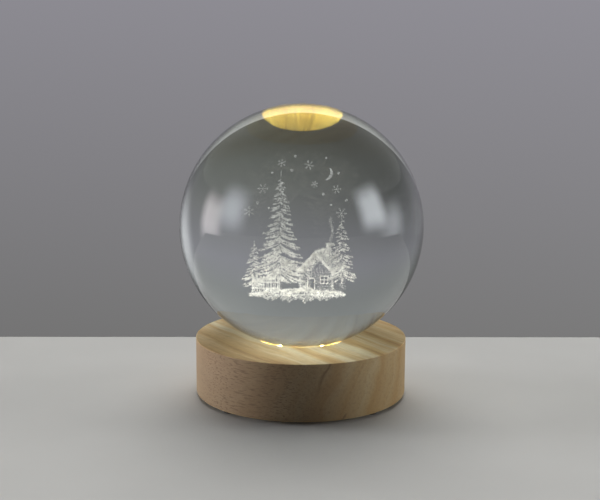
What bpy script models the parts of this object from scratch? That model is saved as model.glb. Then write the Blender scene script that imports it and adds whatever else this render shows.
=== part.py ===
"""Crystal ball lamp: a solid glass ball on a turned wooden base that lights it from below.

Metres, +Z up. The origin is on the surface that the lamp stands on, under the middle of the ball.
The plain side of the base faces -Y. The power socket and the push button are at the back, at +Y.
"""
import math

import bmesh
import bpy

MM = 0.001

# Fits shared by all pieces
GAP = 0.3 * MM
OVERRUN = 1.0 * MM
MERGE_DISTANCE = 0.01 * MM

# Glass ball
BALL_RADIUS = 40.0 * MM
BALL_SEGMENTS = 48
BALL_RINGS = 24

# Wooden base, a turned disc that is hollow from below
BASE_RADIUS = 35.0 * MM
BASE_HEIGHT = 18.5 * MM
BASE_STEPS = 72
TOP_EDGE_ROUND = 0.7 * MM
BOTTOM_EDGE_ROUND = 0.5 * MM
EDGE_SEGMENTS = 3
SEAT_HOLE_DEPTH = 8.9 * MM
SEAT_CHAMFER = 0.6 * MM
RIM_WIDTH = 7.5 * MM
LEDGE_WIDTH = 4.5 * MM
REAR_WALL = 5.2 * MM

# Rubber feet, each glued into a shallow round recess in the rim
FOOT_COUNT = 4
FOOT_RADIUS = 2.5 * MM
FOOT_STAND = 1.0 * MM
FOOT_RECESS_DEPTH = 1.0 * MM
FOOT_EDGE_ROUND = 0.4 * MM
FOOT_STEPS = 24
FOOT_START_ANGLE = math.radians(45)

# Bottom cover, sunk a little into the wood
COVER_THICKNESS = 2.0 * MM
COVER_SINK = 0.7 * MM
COVER_STEPS = 64

# Countersunk screws that hold the cover to the ledge
COVER_SCREW_COUNT = 3
COVER_SCREW_RADIUS = 1.0 * MM
COVER_SCREW_HEAD_RADIUS = 1.9 * MM
COVER_SCREW_HEAD_HEIGHT = 1.1 * MM
COVER_SCREW_LENGTH = 6.0 * MM
SCREW_START_ANGLE = math.radians(30)

# Pan head screws that hold the LED board up against the lip round the seat hole
BOARD_SCREW_COUNT = 3
BOARD_SCREW_RADIUS = 0.85 * MM
BOARD_SCREW_HEAD_RADIUS = 1.7 * MM
BOARD_SCREW_HEAD_HEIGHT = 1.1 * MM
BOARD_SCREW_LENGTH = 5.0 * MM

# What all screws share
SCREW_STEPS = 16
SCREW_POINT_SHARE = 0.3
SCREW_HEAD_EDGE_SHARE = 0.35
DRIVE_SLOT_WIDTH_SHARE = 0.2
DRIVE_SLOT_LENGTH_SHARE = 1.1
DRIVE_SLOT_DEPTH_SHARE = 0.55

# LED board, a round circuit board under the lip of the seat hole
BOARD_LIP = 4.0 * MM
BOARD_CLEARANCE = 3.5 * MM
BOARD_THICKNESS = 1.2 * MM
BOARD_STEPS = 48
BOARD_SCREW_INSET_SHARE = 0.45

# LEDs in a ring on the board, inside the seat hole
LED_COUNT = 6
LED_SPACING = 2.5 * MM
LED_SEAT_MARGIN = 4.0 * MM
LED_HEIGHT = 1.4 * MM
LED_WELL_RIM = 0.6 * MM
LED_WELL_DEPTH = 0.4 * MM
LED_WELL_STEPS = 20

# Resistors under the board, one for each pair of LEDs
RESISTOR_COUNT = 3
RESISTOR_LENGTH = 3.2 * MM
RESISTOR_WIDTH = 1.6 * MM
RESISTOR_HEIGHT = 0.6 * MM
RESISTOR_EDGE = 0.1 * MM
RESISTOR_RING_SHARE = 0.55

# Upright board at the back, which slides up two grooves in the wood
REAR_BOARD_HEIGHT = 8.7 * MM
REAR_BOARD_THICKNESS = 1.2 * MM
GROOVE_DEPTH = 0.8 * MM
HOLE_BRIDGE = 2.9 * MM
POCKET_END_ROOM = 1.9 * MM

# Power socket, type C, and the slot through the wood for its plug
SOCKET_WIDTH = 8.9 * MM
SOCKET_HEIGHT = 3.2 * MM
SOCKET_LENGTH = 7.8 * MM
SOCKET_WALL = 0.3 * MM
TONGUE_WIDTH = 5.6 * MM
TONGUE_THICKNESS = 0.7 * MM
TONGUE_SETBACK = 0.8 * MM
TONGUE_BLOCK_LENGTH = 2.0 * MM
PLUG_SLOT_WIDTH = 13.0 * MM
PLUG_SLOT_HEIGHT = 7.0 * MM
SLOT_END_STEPS = 8

# Push button and the switch behind it
BUTTON_RADIUS = 3.3 * MM
BUTTON_PROUD = 1.2 * MM
BUTTON_EDGE_ROUND = 0.5 * MM
BUTTON_FLANGE = 0.9 * MM
BUTTON_FLANGE_THICKNESS = 1.0 * MM
BUTTON_TRAVEL = 1.2 * MM
BUTTON_STEPS = 32
BUTTON_GRIP_DEPTH = 2.0 * MM
SWITCH_WIDTH = 7.0 * MM
SWITCH_LENGTH = 4.0 * MM
SWITCH_EDGE = 0.3 * MM
SWITCH_BACK_WALL = 0.7 * MM
PLUNGER_WIDTH = 2.4 * MM
SPRING_RADIUS = 2.25 * MM
SPRING_WIRE_RADIUS = 0.15 * MM
SPRING_TURNS = 2.5
SPRING_POINTS_PER_TURN = 12

# Wires between the two boards
WIRE_RADIUS = 0.6 * MM
WIRE_SPACING = 5.0 * MM
WIRE_REACH = 6.5 * MM
WIRE_START_SHARE = 0.5
WIRE_BEND_SHARE = 0.6
WIRE_POINTS = 12

# Heights, worked out from the table upwards
BASE_BOTTOM = FOOT_STAND
BASE_TOP = BASE_BOTTOM + BASE_HEIGHT
COVER_BOTTOM = BASE_BOTTOM + COVER_SINK
COVER_TOP = COVER_BOTTOM + COVER_THICKNESS
LEDGE_HEIGHT = COVER_TOP + GAP
CAVITY_CEILING = BASE_TOP - SEAT_HOLE_DEPTH
BOARD_TOP = CAVITY_CEILING - GAP
BOARD_BOTTOM = BOARD_TOP - BOARD_THICKNESS
REAR_BOARD_TOP = LEDGE_HEIGHT + REAR_BOARD_HEIGHT
REAR_AXIS_HEIGHT = LEDGE_HEIGHT + REAR_BOARD_HEIGHT / 2

# Radii, worked out from the outer side inwards
REBATE_RADIUS = BASE_RADIUS - RIM_WIDTH
CAVITY_RADIUS = REBATE_RADIUS - LEDGE_WIDTH
BOARD_RADIUS = CAVITY_RADIUS - BOARD_CLEARANCE
SEAT_HOLE_RADIUS = BOARD_RADIUS - BOARD_LIP
FOOT_CIRCLE = REBATE_RADIUS + RIM_WIDTH / 2
COVER_SCREW_CIRCLE = CAVITY_RADIUS + LEDGE_WIDTH / 2
BOARD_SCREW_CIRCLE = BOARD_RADIUS - BOARD_LIP * BOARD_SCREW_INSET_SHARE

# Square LEDs as wide as their ring allows, with the spacing between their inner corners
RING_SLOPE = 0.5 / math.tan(math.pi / LED_COUNT)
LED_ROOM = SEAT_HOLE_RADIUS - LED_SEAT_MARGIN - LED_SPACING * RING_SLOPE
LED_WIDTH = LED_ROOM / (1 + RING_SLOPE)
LED_CIRCLE = LED_WIDTH / 2 + (LED_WIDTH + LED_SPACING) * RING_SLOPE
LED_WELL_RADIUS = LED_WIDTH / 2 - LED_WELL_RIM

# Places along X at the back, from the slot's end of the pocket to the button's end
BUTTON_HOLE_RADIUS = BUTTON_RADIUS + GAP
POCKET_WIDTH = PLUG_SLOT_WIDTH + HOLE_BRIDGE + 2 * BUTTON_HOLE_RADIUS + POCKET_END_ROOM
REAR_BOARD_WIDTH = POCKET_WIDTH + 2 * GROOVE_DEPTH
SOCKET_OFFSET = (PLUG_SLOT_WIDTH - POCKET_WIDTH) / 2
SWITCH_OFFSET = POCKET_WIDTH / 2 - POCKET_END_ROOM - BUTTON_HOLE_RADIUS

# Places along Y at the back
POCKET_REAR = BASE_RADIUS - REAR_WALL
SOCKET_FRONT = POCKET_REAR - GAP
SOCKET_BACK = SOCKET_FRONT - SOCKET_LENGTH
REAR_BOARD_OUTER = SOCKET_BACK - GAP
REAR_BOARD_INNER = REAR_BOARD_OUTER - REAR_BOARD_THICKNESS
POCKET_FRONT = REAR_BOARD_INNER - GAP
SWITCH_FRONT = SOCKET_BACK + SWITCH_LENGTH
FLANGE_INNER = POCKET_REAR - GAP - BUTTON_FLANGE_THICKNESS
BUTTON_END = math.sqrt(BASE_RADIUS**2 - SWITCH_OFFSET**2) + BUTTON_PROUD

# The ball rests on the outer edge of the seat's chamfer
SEAT_CONTACT_RADIUS = SEAT_HOLE_RADIUS + SEAT_CHAMFER
BALL_CENTRE = BASE_TOP + math.sqrt((BALL_RADIUS + GAP) ** 2 - SEAT_CONTACT_RADIUS**2)

UP = (0, 0, 0)
TO_BACK = (math.radians(-90), 0, 0)


def clear_scene():
    for existing in list(bpy.data.objects):
        bpy.data.objects.remove(existing, do_unlink=True)


def new_collection(name):
    collection = bpy.data.collections.new(name)
    bpy.context.scene.collection.children.link(collection)
    return collection


def new_material(name, color, roughness, metallic=0.0, transmission=0.0):
    material = bpy.data.materials.new(name)
    material.use_nodes = True
    shader = material.node_tree.nodes["Principled BSDF"]
    shader.inputs["Base Color"].default_value = (*color, 1.0)
    shader.inputs["Roughness"].default_value = roughness
    shader.inputs["Metallic"].default_value = metallic
    shader.inputs["Transmission Weight"].default_value = transmission
    return material


def add_piece(name, data, material, location=(0, 0, 0), rotation=UP):
    """Put a mesh or a curve in the lamp's collection as one named sub-part."""
    piece = bpy.data.objects.new(name, data)
    piece.location = location
    piece.rotation_euler = rotation
    if not data.materials:
        data.materials.append(material)
    lamp_parts.objects.link(piece)
    return piece


def add_cutter(name, data, location=(0, 0, 0), rotation=UP):
    cutter = bpy.data.objects.new(name, data)
    cutter.location = location
    cutter.rotation_euler = rotation
    cutter.display_type = "WIRE"
    cutter.hide_render = True
    cutters.objects.link(cutter)
    return cutter


def cut(piece, cutter):
    boolean = piece.modifiers.new(cutter.name, "BOOLEAN")
    boolean.operation = "DIFFERENCE"
    boolean.solver = "EXACT"
    boolean.object = cutter


def bevel(piece, width, segments=1):
    modifier = piece.modifiers.new("edges", "BEVEL")
    modifier.width = width
    modifier.segments = segments
    modifier.limit_method = "ANGLE"


def mesh_from(name, bm):
    mesh = bpy.data.meshes.new(name)
    bm.to_mesh(mesh)
    bm.free()
    return mesh


def baked_mesh(source):
    """Return the mesh of an object with its modifiers or its bevelled curve in it."""
    graph = bpy.context.evaluated_depsgraph_get()
    mesh = bpy.data.meshes.new_from_object(source.evaluated_get(graph), depsgraph=graph)
    bm = bmesh.new()
    bm.from_mesh(mesh)
    bmesh.ops.remove_doubles(bm, verts=bm.verts, dist=MERGE_DISTANCE)
    bm.to_mesh(mesh)
    bm.free()
    return mesh


def box_mesh(name, width, depth, height):
    bm = bmesh.new()
    bmesh.ops.create_cube(bm, size=1)
    bmesh.ops.scale(bm, vec=(width, depth, height), verts=bm.verts)
    return mesh_from(name, bm)


def cylinder_mesh(name, radius, height, steps):
    bm = bmesh.new()
    bmesh.ops.create_cone(
        bm, cap_ends=True, segments=steps, radius1=radius, radius2=radius, depth=height
    )
    return mesh_from(name, bm)


def turned_piece(name, profile, steps, material, location=(0, 0, 0), rotation=UP, ring=False):
    """Turn (radius, height) points round Z. They run down the outer side, from top to bottom."""
    mesh = bpy.data.meshes.new(name)
    points = [(radius, 0, height) for radius, height in profile]
    edges = [(i, i + 1) for i in range(len(points) - 1)]
    if ring:
        edges.append((len(points) - 1, 0))
    mesh.from_pydata(points, edges, [])
    piece = add_piece(name, mesh, material, location, rotation)
    screw = piece.modifiers.new("turned", "SCREW")
    screw.axis = "Z"
    screw.steps = steps
    screw.render_steps = steps
    screw.use_merge_vertices = True
    screw.merge_threshold = MERGE_DISTANCE
    return piece


def arc(centre_radius, centre_height, size, start_degrees, end_degrees, segments):
    """Points of a round edge in a turned profile."""
    points = []
    for i in range(segments + 1):
        angle = math.radians(start_degrees + (end_degrees - start_degrees) * i / segments)
        points.append(
            (centre_radius + size * math.cos(angle), centre_height + size * math.sin(angle))
        )
    return points


def slot_outline(width, height):
    """A flat outline with half round ends, along X."""
    end_radius = height / 2
    end_centre = width / 2 - end_radius
    points = []
    for side, start in ((1, -90), (-1, 90)):
        for i in range(SLOT_END_STEPS + 1):
            angle = math.radians(start + 180 * i / SLOT_END_STEPS)
            x = side * end_centre + end_radius * math.cos(angle)
            points.append((x, end_radius * math.sin(angle)))
    return points


def flat_shape(name, outlines, thickness):
    """Fill flat outlines and extrude them, centred, by the thickness."""
    curve = bpy.data.curves.new(name, "CURVE")
    curve.dimensions = "2D"
    curve.fill_mode = "BOTH"
    curve.extrude = thickness / 2
    for outline in outlines:
        spline = curve.splines.new("POLY")
        spline.points.add(len(outline) - 1)
        for point, (x, y) in zip(spline.points, outline):
            point.co = (x, y, 0, 1)
        spline.use_cyclic_u = True
    source = bpy.data.objects.new(name, curve)
    bpy.context.scene.collection.objects.link(source)
    mesh = baked_mesh(source)
    bpy.data.objects.remove(source, do_unlink=True)
    bpy.data.curves.remove(curve)
    return mesh


def tube_piece(name, points, radius, material):
    curve = bpy.data.curves.new(name, "CURVE")
    curve.dimensions = "3D"
    curve.bevel_depth = radius
    curve.bevel_resolution = 2
    curve.use_fill_caps = True
    spline = curve.splines.new("POLY")
    spline.points.add(len(points) - 1)
    for point, place in zip(spline.points, points):
        point.co = (*place, 1)
    return add_piece(name, curve, material)


def smooth(piece):
    piece.data.shade_smooth()
    piece.data.set_sharp_from_angle(angle=math.radians(30))


def ring_place(circle, index, count, start_angle=0.0):
    """The x, the y and the angle of one of a ring of equal places."""
    angle = start_angle + 2 * math.pi * index / count
    return circle * math.cos(angle), circle * math.sin(angle), angle


def make_ball():
    bm = bmesh.new()
    bmesh.ops.create_uvsphere(
        bm, u_segments=BALL_SEGMENTS, v_segments=BALL_RINGS, radius=BALL_RADIUS
    )
    ball = add_piece("crystal_ball", mesh_from("crystal_ball", bm), glass, (0, 0, BALL_CENTRE))
    smooth(ball)


def make_base():
    top_round = arc(
        BASE_RADIUS - TOP_EDGE_ROUND, BASE_TOP - TOP_EDGE_ROUND, TOP_EDGE_ROUND, 90, 0,
        EDGE_SEGMENTS,
    )
    bottom_round = arc(
        BASE_RADIUS - BOTTOM_EDGE_ROUND, BASE_BOTTOM + BOTTOM_EDGE_ROUND, BOTTOM_EDGE_ROUND,
        0, -90, EDGE_SEGMENTS,
    )
    profile = [
        (SEAT_CONTACT_RADIUS, BASE_TOP),
        *top_round,
        *bottom_round,
        (REBATE_RADIUS, BASE_BOTTOM),
        (REBATE_RADIUS, LEDGE_HEIGHT),
        (CAVITY_RADIUS, LEDGE_HEIGHT),
        (CAVITY_RADIUS, CAVITY_CEILING),
        (SEAT_HOLE_RADIUS, CAVITY_CEILING),
        (SEAT_HOLE_RADIUS, BASE_TOP - SEAT_CHAMFER),
    ]
    base = turned_piece("wood_base", profile, BASE_STEPS, wood, ring=True)
    cut_rear_pocket(base)
    cut_rear_holes(base)
    cut_foot_recesses(base)
    cut_pilot_holes(base)


def cut_rear_pocket(base):
    """Room behind the cavity for the upright board, with a groove for each of its ends."""
    bottom = LEDGE_HEIGHT - OVERRUN
    top = REAR_BOARD_TOP + GAP
    height = top - bottom
    middle = (top + bottom) / 2
    pocket_depth = POCKET_REAR - POCKET_FRONT
    pocket = add_cutter(
        "pocket_cutter",
        box_mesh("pocket_cutter", POCKET_WIDTH, pocket_depth, height),
        (0, (POCKET_REAR + POCKET_FRONT) / 2, middle),
    )
    groove_width = REAR_BOARD_WIDTH + 2 * GAP
    groove_depth = REAR_BOARD_THICKNESS + 2 * GAP
    grooves = add_cutter(
        "groove_cutter",
        box_mesh("groove_cutter", groove_width, groove_depth, height),
        (0, (REAR_BOARD_INNER + REAR_BOARD_OUTER) / 2, middle),
    )
    cut(base, pocket)
    cut(base, grooves)


def cut_rear_holes(base):
    """The plug's slot and the button's hole, through the wall at the back."""
    length = REAR_WALL + 2 * OVERRUN
    middle = POCKET_REAR + REAR_WALL / 2
    slot_mesh = flat_shape(
        "plug_slot_cutter", [slot_outline(PLUG_SLOT_WIDTH, PLUG_SLOT_HEIGHT)], length
    )
    slot = add_cutter(
        "plug_slot_cutter", slot_mesh, (SOCKET_OFFSET, middle, REAR_AXIS_HEIGHT), TO_BACK
    )
    hole = add_cutter(
        "button_hole_cutter",
        cylinder_mesh("button_hole_cutter", BUTTON_HOLE_RADIUS, length, BUTTON_STEPS),
        (SWITCH_OFFSET, middle, REAR_AXIS_HEIGHT),
        TO_BACK,
    )
    cut(base, slot)
    cut(base, hole)


def cut_foot_recesses(base):
    height = FOOT_RECESS_DEPTH + OVERRUN
    mesh = cylinder_mesh("foot_recess_cutter", FOOT_RADIUS + GAP, height, FOOT_STEPS)
    for i in range(FOOT_COUNT):
        x, y, _ = ring_place(FOOT_CIRCLE, i, FOOT_COUNT, FOOT_START_ANGLE)
        place = (x, y, BASE_BOTTOM + FOOT_RECESS_DEPTH - height / 2)
        cut(base, add_cutter(f"foot_recess_cutter_{i + 1}", mesh, place))


def cut_pilot_holes(base):
    """Blind holes in the wood that the screws turn into."""
    cover_depth = COVER_SCREW_LENGTH - COVER_THICKNESS + OVERRUN
    cover_mesh = cylinder_mesh(
        "cover_pilot_cutter", COVER_SCREW_RADIUS + GAP, cover_depth + OVERRUN, SCREW_STEPS
    )
    for i in range(COVER_SCREW_COUNT):
        x, y, _ = ring_place(COVER_SCREW_CIRCLE, i, COVER_SCREW_COUNT, SCREW_START_ANGLE)
        place = (x, y, LEDGE_HEIGHT + (cover_depth - OVERRUN) / 2)
        cut(base, add_cutter(f"cover_pilot_cutter_{i + 1}", cover_mesh, place))
    board_depth = BOARD_SCREW_LENGTH - BOARD_THICKNESS + OVERRUN
    board_mesh = cylinder_mesh(
        "board_pilot_cutter", BOARD_SCREW_RADIUS + GAP, board_depth + OVERRUN, SCREW_STEPS
    )
    for i in range(BOARD_SCREW_COUNT):
        x, y, _ = ring_place(BOARD_SCREW_CIRCLE, i, BOARD_SCREW_COUNT, SCREW_START_ANGLE)
        place = (x, y, CAVITY_CEILING + (board_depth - OVERRUN) / 2)
        cut(base, add_cutter(f"board_pilot_cutter_{i + 1}", board_mesh, place))


def make_led_board():
    board = add_piece(
        "led_board",
        cylinder_mesh("led_board", BOARD_RADIUS, BOARD_THICKNESS, BOARD_STEPS),
        board_white,
        (0, 0, BOARD_TOP - BOARD_THICKNESS / 2),
    )
    hole_mesh = cylinder_mesh(
        "board_hole_cutter", BOARD_SCREW_RADIUS + GAP, BOARD_THICKNESS + 2 * OVERRUN, SCREW_STEPS
    )
    for i in range(BOARD_SCREW_COUNT):
        x, y, _ = ring_place(BOARD_SCREW_CIRCLE, i, BOARD_SCREW_COUNT, SCREW_START_ANGLE)
        place = (x, y, BOARD_TOP - BOARD_THICKNESS / 2)
        cut(board, add_cutter(f"board_hole_cutter_{i + 1}", hole_mesh, place))


def make_leds():
    """Square LEDs with a round well on top, in a ring inside the seat hole."""
    well_mesh = cylinder_mesh(
        "led_well_cutter", LED_WELL_RADIUS, LED_WELL_DEPTH + OVERRUN, LED_WELL_STEPS
    )
    body_mesh = box_mesh("led", LED_WIDTH, LED_WIDTH, LED_HEIGHT)
    bottom = BOARD_TOP + GAP
    for i in range(LED_COUNT):
        x, y, angle = ring_place(LED_CIRCLE, i, LED_COUNT)
        place = (x, y, bottom + LED_HEIGHT / 2)
        led = add_piece(f"led_{i + 1}", body_mesh, led_white, place, (0, 0, angle))
        well_place = (x, y, bottom + LED_HEIGHT + (OVERRUN - LED_WELL_DEPTH) / 2)
        cut(led, add_cutter(f"led_well_cutter_{i + 1}", well_mesh, well_place))


def make_resistors():
    mesh = box_mesh("resistor", RESISTOR_WIDTH, RESISTOR_LENGTH, RESISTOR_HEIGHT)
    for i in range(RESISTOR_COUNT):
        x, y, angle = ring_place(
            SEAT_HOLE_RADIUS * RESISTOR_RING_SHARE, i, RESISTOR_COUNT, SCREW_START_ANGLE
        )
        place = (x, y, BOARD_BOTTOM - GAP - RESISTOR_HEIGHT / 2)
        resistor = add_piece(f"resistor_{i + 1}", mesh, resistor_black, place, (0, 0, angle))
        bevel(resistor, RESISTOR_EDGE)


def screw_mesh(name, head_profile, head_radius, head_height, radius, length, material):
    """A screw that points up from its head, whose underside is at z = 0 and has a cross in it."""
    point = radius * SCREW_POINT_SHARE
    shank_end = length - (radius - point)
    profile = [(0, length), (point, length), (radius, shank_end), (radius, head_height)]
    source = turned_piece(name, profile + head_profile + [(0, 0)], SCREW_STEPS, material)
    slot_depth = head_height * DRIVE_SLOT_DEPTH_SHARE
    for turn in range(2):
        slot = add_cutter(
            f"{name}_slot_cutter_{turn + 1}",
            box_mesh(
                f"{name}_slot_cutter",
                head_radius * DRIVE_SLOT_LENGTH_SHARE,
                head_radius * DRIVE_SLOT_WIDTH_SHARE,
                slot_depth + OVERRUN,
            ),
            (0, 0, (slot_depth - OVERRUN) / 2),
            (0, 0, math.radians(90 * turn)),
        )
        cut(source, slot)
    mesh = baked_mesh(source)
    for modifier in list(source.modifiers):
        if modifier.type == "BOOLEAN":
            bpy.data.objects.remove(modifier.object, do_unlink=True)
    bpy.data.objects.remove(source, do_unlink=True)
    return mesh


def make_board_screws():
    edge = BOARD_SCREW_HEAD_HEIGHT * SCREW_HEAD_EDGE_SHARE
    head = [
        (BOARD_SCREW_HEAD_RADIUS, BOARD_SCREW_HEAD_HEIGHT),
        (BOARD_SCREW_HEAD_RADIUS, edge),
        (BOARD_SCREW_HEAD_RADIUS - edge, 0),
    ]
    mesh = screw_mesh(
        "led_board_screw", head, BOARD_SCREW_HEAD_RADIUS, BOARD_SCREW_HEAD_HEIGHT,
        BOARD_SCREW_RADIUS, BOARD_SCREW_LENGTH + BOARD_SCREW_HEAD_HEIGHT, steel,
    )
    for i in range(BOARD_SCREW_COUNT):
        x, y, angle = ring_place(BOARD_SCREW_CIRCLE, i, BOARD_SCREW_COUNT, SCREW_START_ANGLE)
        place = (x, y, BOARD_BOTTOM - GAP - BOARD_SCREW_HEAD_HEIGHT)
        smooth(add_piece(f"led_board_screw_{i + 1}", mesh, steel, place, (0, 0, angle)))


def make_cover():
    cover = add_piece(
        "bottom_cover",
        cylinder_mesh("bottom_cover", REBATE_RADIUS - GAP, COVER_THICKNESS, COVER_STEPS),
        cover_black,
        (0, 0, COVER_BOTTOM + COVER_THICKNESS / 2),
    )
    sink_mesh = countersink_mesh()
    for i in range(COVER_SCREW_COUNT):
        x, y, _ = ring_place(COVER_SCREW_CIRCLE, i, COVER_SCREW_COUNT, SCREW_START_ANGLE)
        cut(cover, add_cutter(f"countersink_cutter_{i + 1}", sink_mesh, (x, y, COVER_BOTTOM)))


def countersink_mesh():
    """The hole of a cover screw, a gap wider all round than the screw itself."""
    hole = COVER_SCREW_RADIUS + GAP
    mouth = COVER_SCREW_HEAD_RADIUS + GAP
    profile = [
        (0, COVER_THICKNESS + OVERRUN),
        (hole, COVER_THICKNESS + OVERRUN),
        (hole, COVER_SCREW_HEAD_HEIGHT),
        (mouth, 0),
        (mouth, -OVERRUN),
        (0, -OVERRUN),
    ]
    source = turned_piece("countersink", profile, SCREW_STEPS, steel)
    mesh = baked_mesh(source)
    bpy.data.objects.remove(source, do_unlink=True)
    return mesh


def make_cover_screws():
    head = [(COVER_SCREW_HEAD_RADIUS, 0)]
    mesh = screw_mesh(
        "cover_screw", head, COVER_SCREW_HEAD_RADIUS, COVER_SCREW_HEAD_HEIGHT,
        COVER_SCREW_RADIUS, COVER_SCREW_LENGTH, steel,
    )
    for i in range(COVER_SCREW_COUNT):
        x, y, angle = ring_place(COVER_SCREW_CIRCLE, i, COVER_SCREW_COUNT, SCREW_START_ANGLE)
        place = (x, y, COVER_BOTTOM)
        smooth(add_piece(f"cover_screw_{i + 1}", mesh, steel, place, (0, 0, angle)))


def make_feet():
    height = FOOT_STAND + FOOT_RECESS_DEPTH - GAP
    profile = [
        (0, height),
        (FOOT_RADIUS, height),
        *arc(FOOT_RADIUS - FOOT_EDGE_ROUND, FOOT_EDGE_ROUND, FOOT_EDGE_ROUND, 0, -90, 2),
        (0, 0),
    ]
    for i in range(FOOT_COUNT):
        x, y, _ = ring_place(FOOT_CIRCLE, i, FOOT_COUNT, FOOT_START_ANGLE)
        foot = turned_piece(f"rubber_foot_{i + 1}", profile, FOOT_STEPS, rubber, (x, y, 0))
        smooth(foot)


def make_rear_board():
    add_piece(
        "rear_board",
        box_mesh("rear_board", REAR_BOARD_WIDTH, REAR_BOARD_THICKNESS, REAR_BOARD_HEIGHT),
        board_green,
        (0, (REAR_BOARD_INNER + REAR_BOARD_OUTER) / 2, REAR_AXIS_HEIGHT),
    )


def make_socket():
    outer = slot_outline(SOCKET_WIDTH, SOCKET_HEIGHT)
    inner = slot_outline(SOCKET_WIDTH - 2 * SOCKET_WALL, SOCKET_HEIGHT - 2 * SOCKET_WALL)
    place = (SOCKET_OFFSET, (SOCKET_FRONT + SOCKET_BACK) / 2, REAR_AXIS_HEIGHT)
    shell_mesh = flat_shape("usb_socket_shell", [outer, inner], SOCKET_LENGTH)
    smooth(add_piece("usb_socket_shell", shell_mesh, steel, place, TO_BACK))

    block = SOCKET_HEIGHT / 2 - SOCKET_WALL - GAP
    half_tongue = TONGUE_THICKNESS / 2
    front = SOCKET_FRONT - TONGUE_SETBACK
    step = SOCKET_BACK + TONGUE_BLOCK_LENGTH
    side_view = [
        (SOCKET_BACK, -block),
        (step, -block),
        (step, -half_tongue),
        (front, -half_tongue),
        (front, half_tongue),
        (step, half_tongue),
        (step, block),
        (SOCKET_BACK, block),
    ]
    tongue_mesh = flat_shape("usb_socket_tongue", [side_view], TONGUE_WIDTH)
    upright = (math.radians(90), 0, math.radians(90))
    add_piece(
        "usb_socket_tongue", tongue_mesh, tongue_black, (SOCKET_OFFSET, 0, REAR_AXIS_HEIGHT), upright
    )


def make_switch():
    body = add_piece(
        "switch_body",
        box_mesh("switch_body", SWITCH_WIDTH, SWITCH_LENGTH, SWITCH_WIDTH),
        switch_black,
        (SWITCH_OFFSET, (SOCKET_BACK + SWITCH_FRONT) / 2, REAR_AXIS_HEIGHT),
    )
    bevel(body, SWITCH_EDGE)
    bore_back = SOCKET_BACK + SWITCH_BACK_WALL
    bore_width = PLUNGER_WIDTH + 2 * GAP
    bore_length = SWITCH_FRONT + OVERRUN - bore_back
    bore = add_cutter(
        "switch_bore_cutter",
        box_mesh("switch_bore_cutter", bore_width, bore_length, bore_width),
        (SWITCH_OFFSET, bore_back + bore_length / 2, REAR_AXIS_HEIGHT),
    )
    cut(body, bore)

    plunger_back = bore_back + BUTTON_TRAVEL + GAP
    plunger_front = FLANGE_INNER + BUTTON_GRIP_DEPTH - GAP
    add_piece(
        "switch_plunger",
        box_mesh(
            "switch_plunger", PLUNGER_WIDTH, plunger_front - plunger_back, PLUNGER_WIDTH
        ),
        plunger_white,
        (SWITCH_OFFSET, (plunger_front + plunger_back) / 2, REAR_AXIS_HEIGHT),
    )


def make_switch_spring():
    """A short coil round the plunger, between the switch and the button's flange."""
    start = SWITCH_FRONT + GAP + SPRING_WIRE_RADIUS
    end = FLANGE_INNER - GAP - SPRING_WIRE_RADIUS
    steps = round(SPRING_TURNS * SPRING_POINTS_PER_TURN)
    points = []
    for i in range(steps + 1):
        angle = 2 * math.pi * i / SPRING_POINTS_PER_TURN
        x = SWITCH_OFFSET + SPRING_RADIUS * math.cos(angle)
        z = REAR_AXIS_HEIGHT + SPRING_RADIUS * math.sin(angle)
        points.append((x, start + (end - start) * i / steps, z))
    tube_piece("switch_spring", points, SPRING_WIRE_RADIUS, steel)
    pitch = (end - start) / SPRING_TURNS
    print("spring least gap to itself", round((pitch - 2 * SPRING_WIRE_RADIUS) / MM, 3), "mm")


def make_button():
    """A round button with a flange that stays behind the wood. Its origin is on its own axis."""
    flange_radius = BUTTON_RADIUS + BUTTON_FLANGE
    end = BUTTON_END - FLANGE_INNER
    profile = [
        (0, end),
        *arc(
            BUTTON_RADIUS - BUTTON_EDGE_ROUND, end - BUTTON_EDGE_ROUND, BUTTON_EDGE_ROUND, 90, 0,
            EDGE_SEGMENTS,
        ),
        (BUTTON_RADIUS, BUTTON_FLANGE_THICKNESS),
        (flange_radius, BUTTON_FLANGE_THICKNESS),
        (flange_radius, 0),
        (0, 0),
    ]
    place = (SWITCH_OFFSET, FLANGE_INNER, REAR_AXIS_HEIGHT)
    button = turned_piece("power_button", profile, BUTTON_STEPS, button_black, place, TO_BACK)
    grip_width = PLUNGER_WIDTH + 2 * GAP
    grip_length = BUTTON_GRIP_DEPTH + OVERRUN
    grip = add_cutter(
        "button_grip_cutter",
        box_mesh("button_grip_cutter", grip_width, grip_length, grip_width),
        (SWITCH_OFFSET, FLANGE_INNER + BUTTON_GRIP_DEPTH - grip_length / 2, REAR_AXIS_HEIGHT),
    )
    cut(button, grip)
    smooth(button)


def wire_route(x):
    """A quarter turn from the inner face of the upright board up to the LED board."""
    start_y = REAR_BOARD_INNER - GAP
    start_z = LEDGE_HEIGHT + (BOARD_BOTTOM - LEDGE_HEIGHT) * WIRE_START_SHARE
    end_y = start_y - WIRE_REACH
    end_z = BOARD_BOTTOM - GAP
    handles = [
        (start_y, start_z),
        (start_y - WIRE_REACH * WIRE_BEND_SHARE, start_z),
        (end_y, end_z - (end_z - start_z) * WIRE_BEND_SHARE),
        (end_y, end_z),
    ]
    points = []
    for i in range(WIRE_POINTS):
        t = i / (WIRE_POINTS - 1)
        weights = [(1 - t) ** 3, 3 * t * (1 - t) ** 2, 3 * t**2 * (1 - t), t**3]
        y = sum(weight * handle[0] for weight, handle in zip(weights, handles))
        z = sum(weight * handle[1] for weight, handle in zip(weights, handles))
        points.append((x, y, z))
    return points


def make_wires():
    tube_piece("wire_positive", wire_route(-WIRE_SPACING / 2), WIRE_RADIUS, wire_red)
    tube_piece("wire_negative", wire_route(WIRE_SPACING / 2), WIRE_RADIUS, wire_black)


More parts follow.
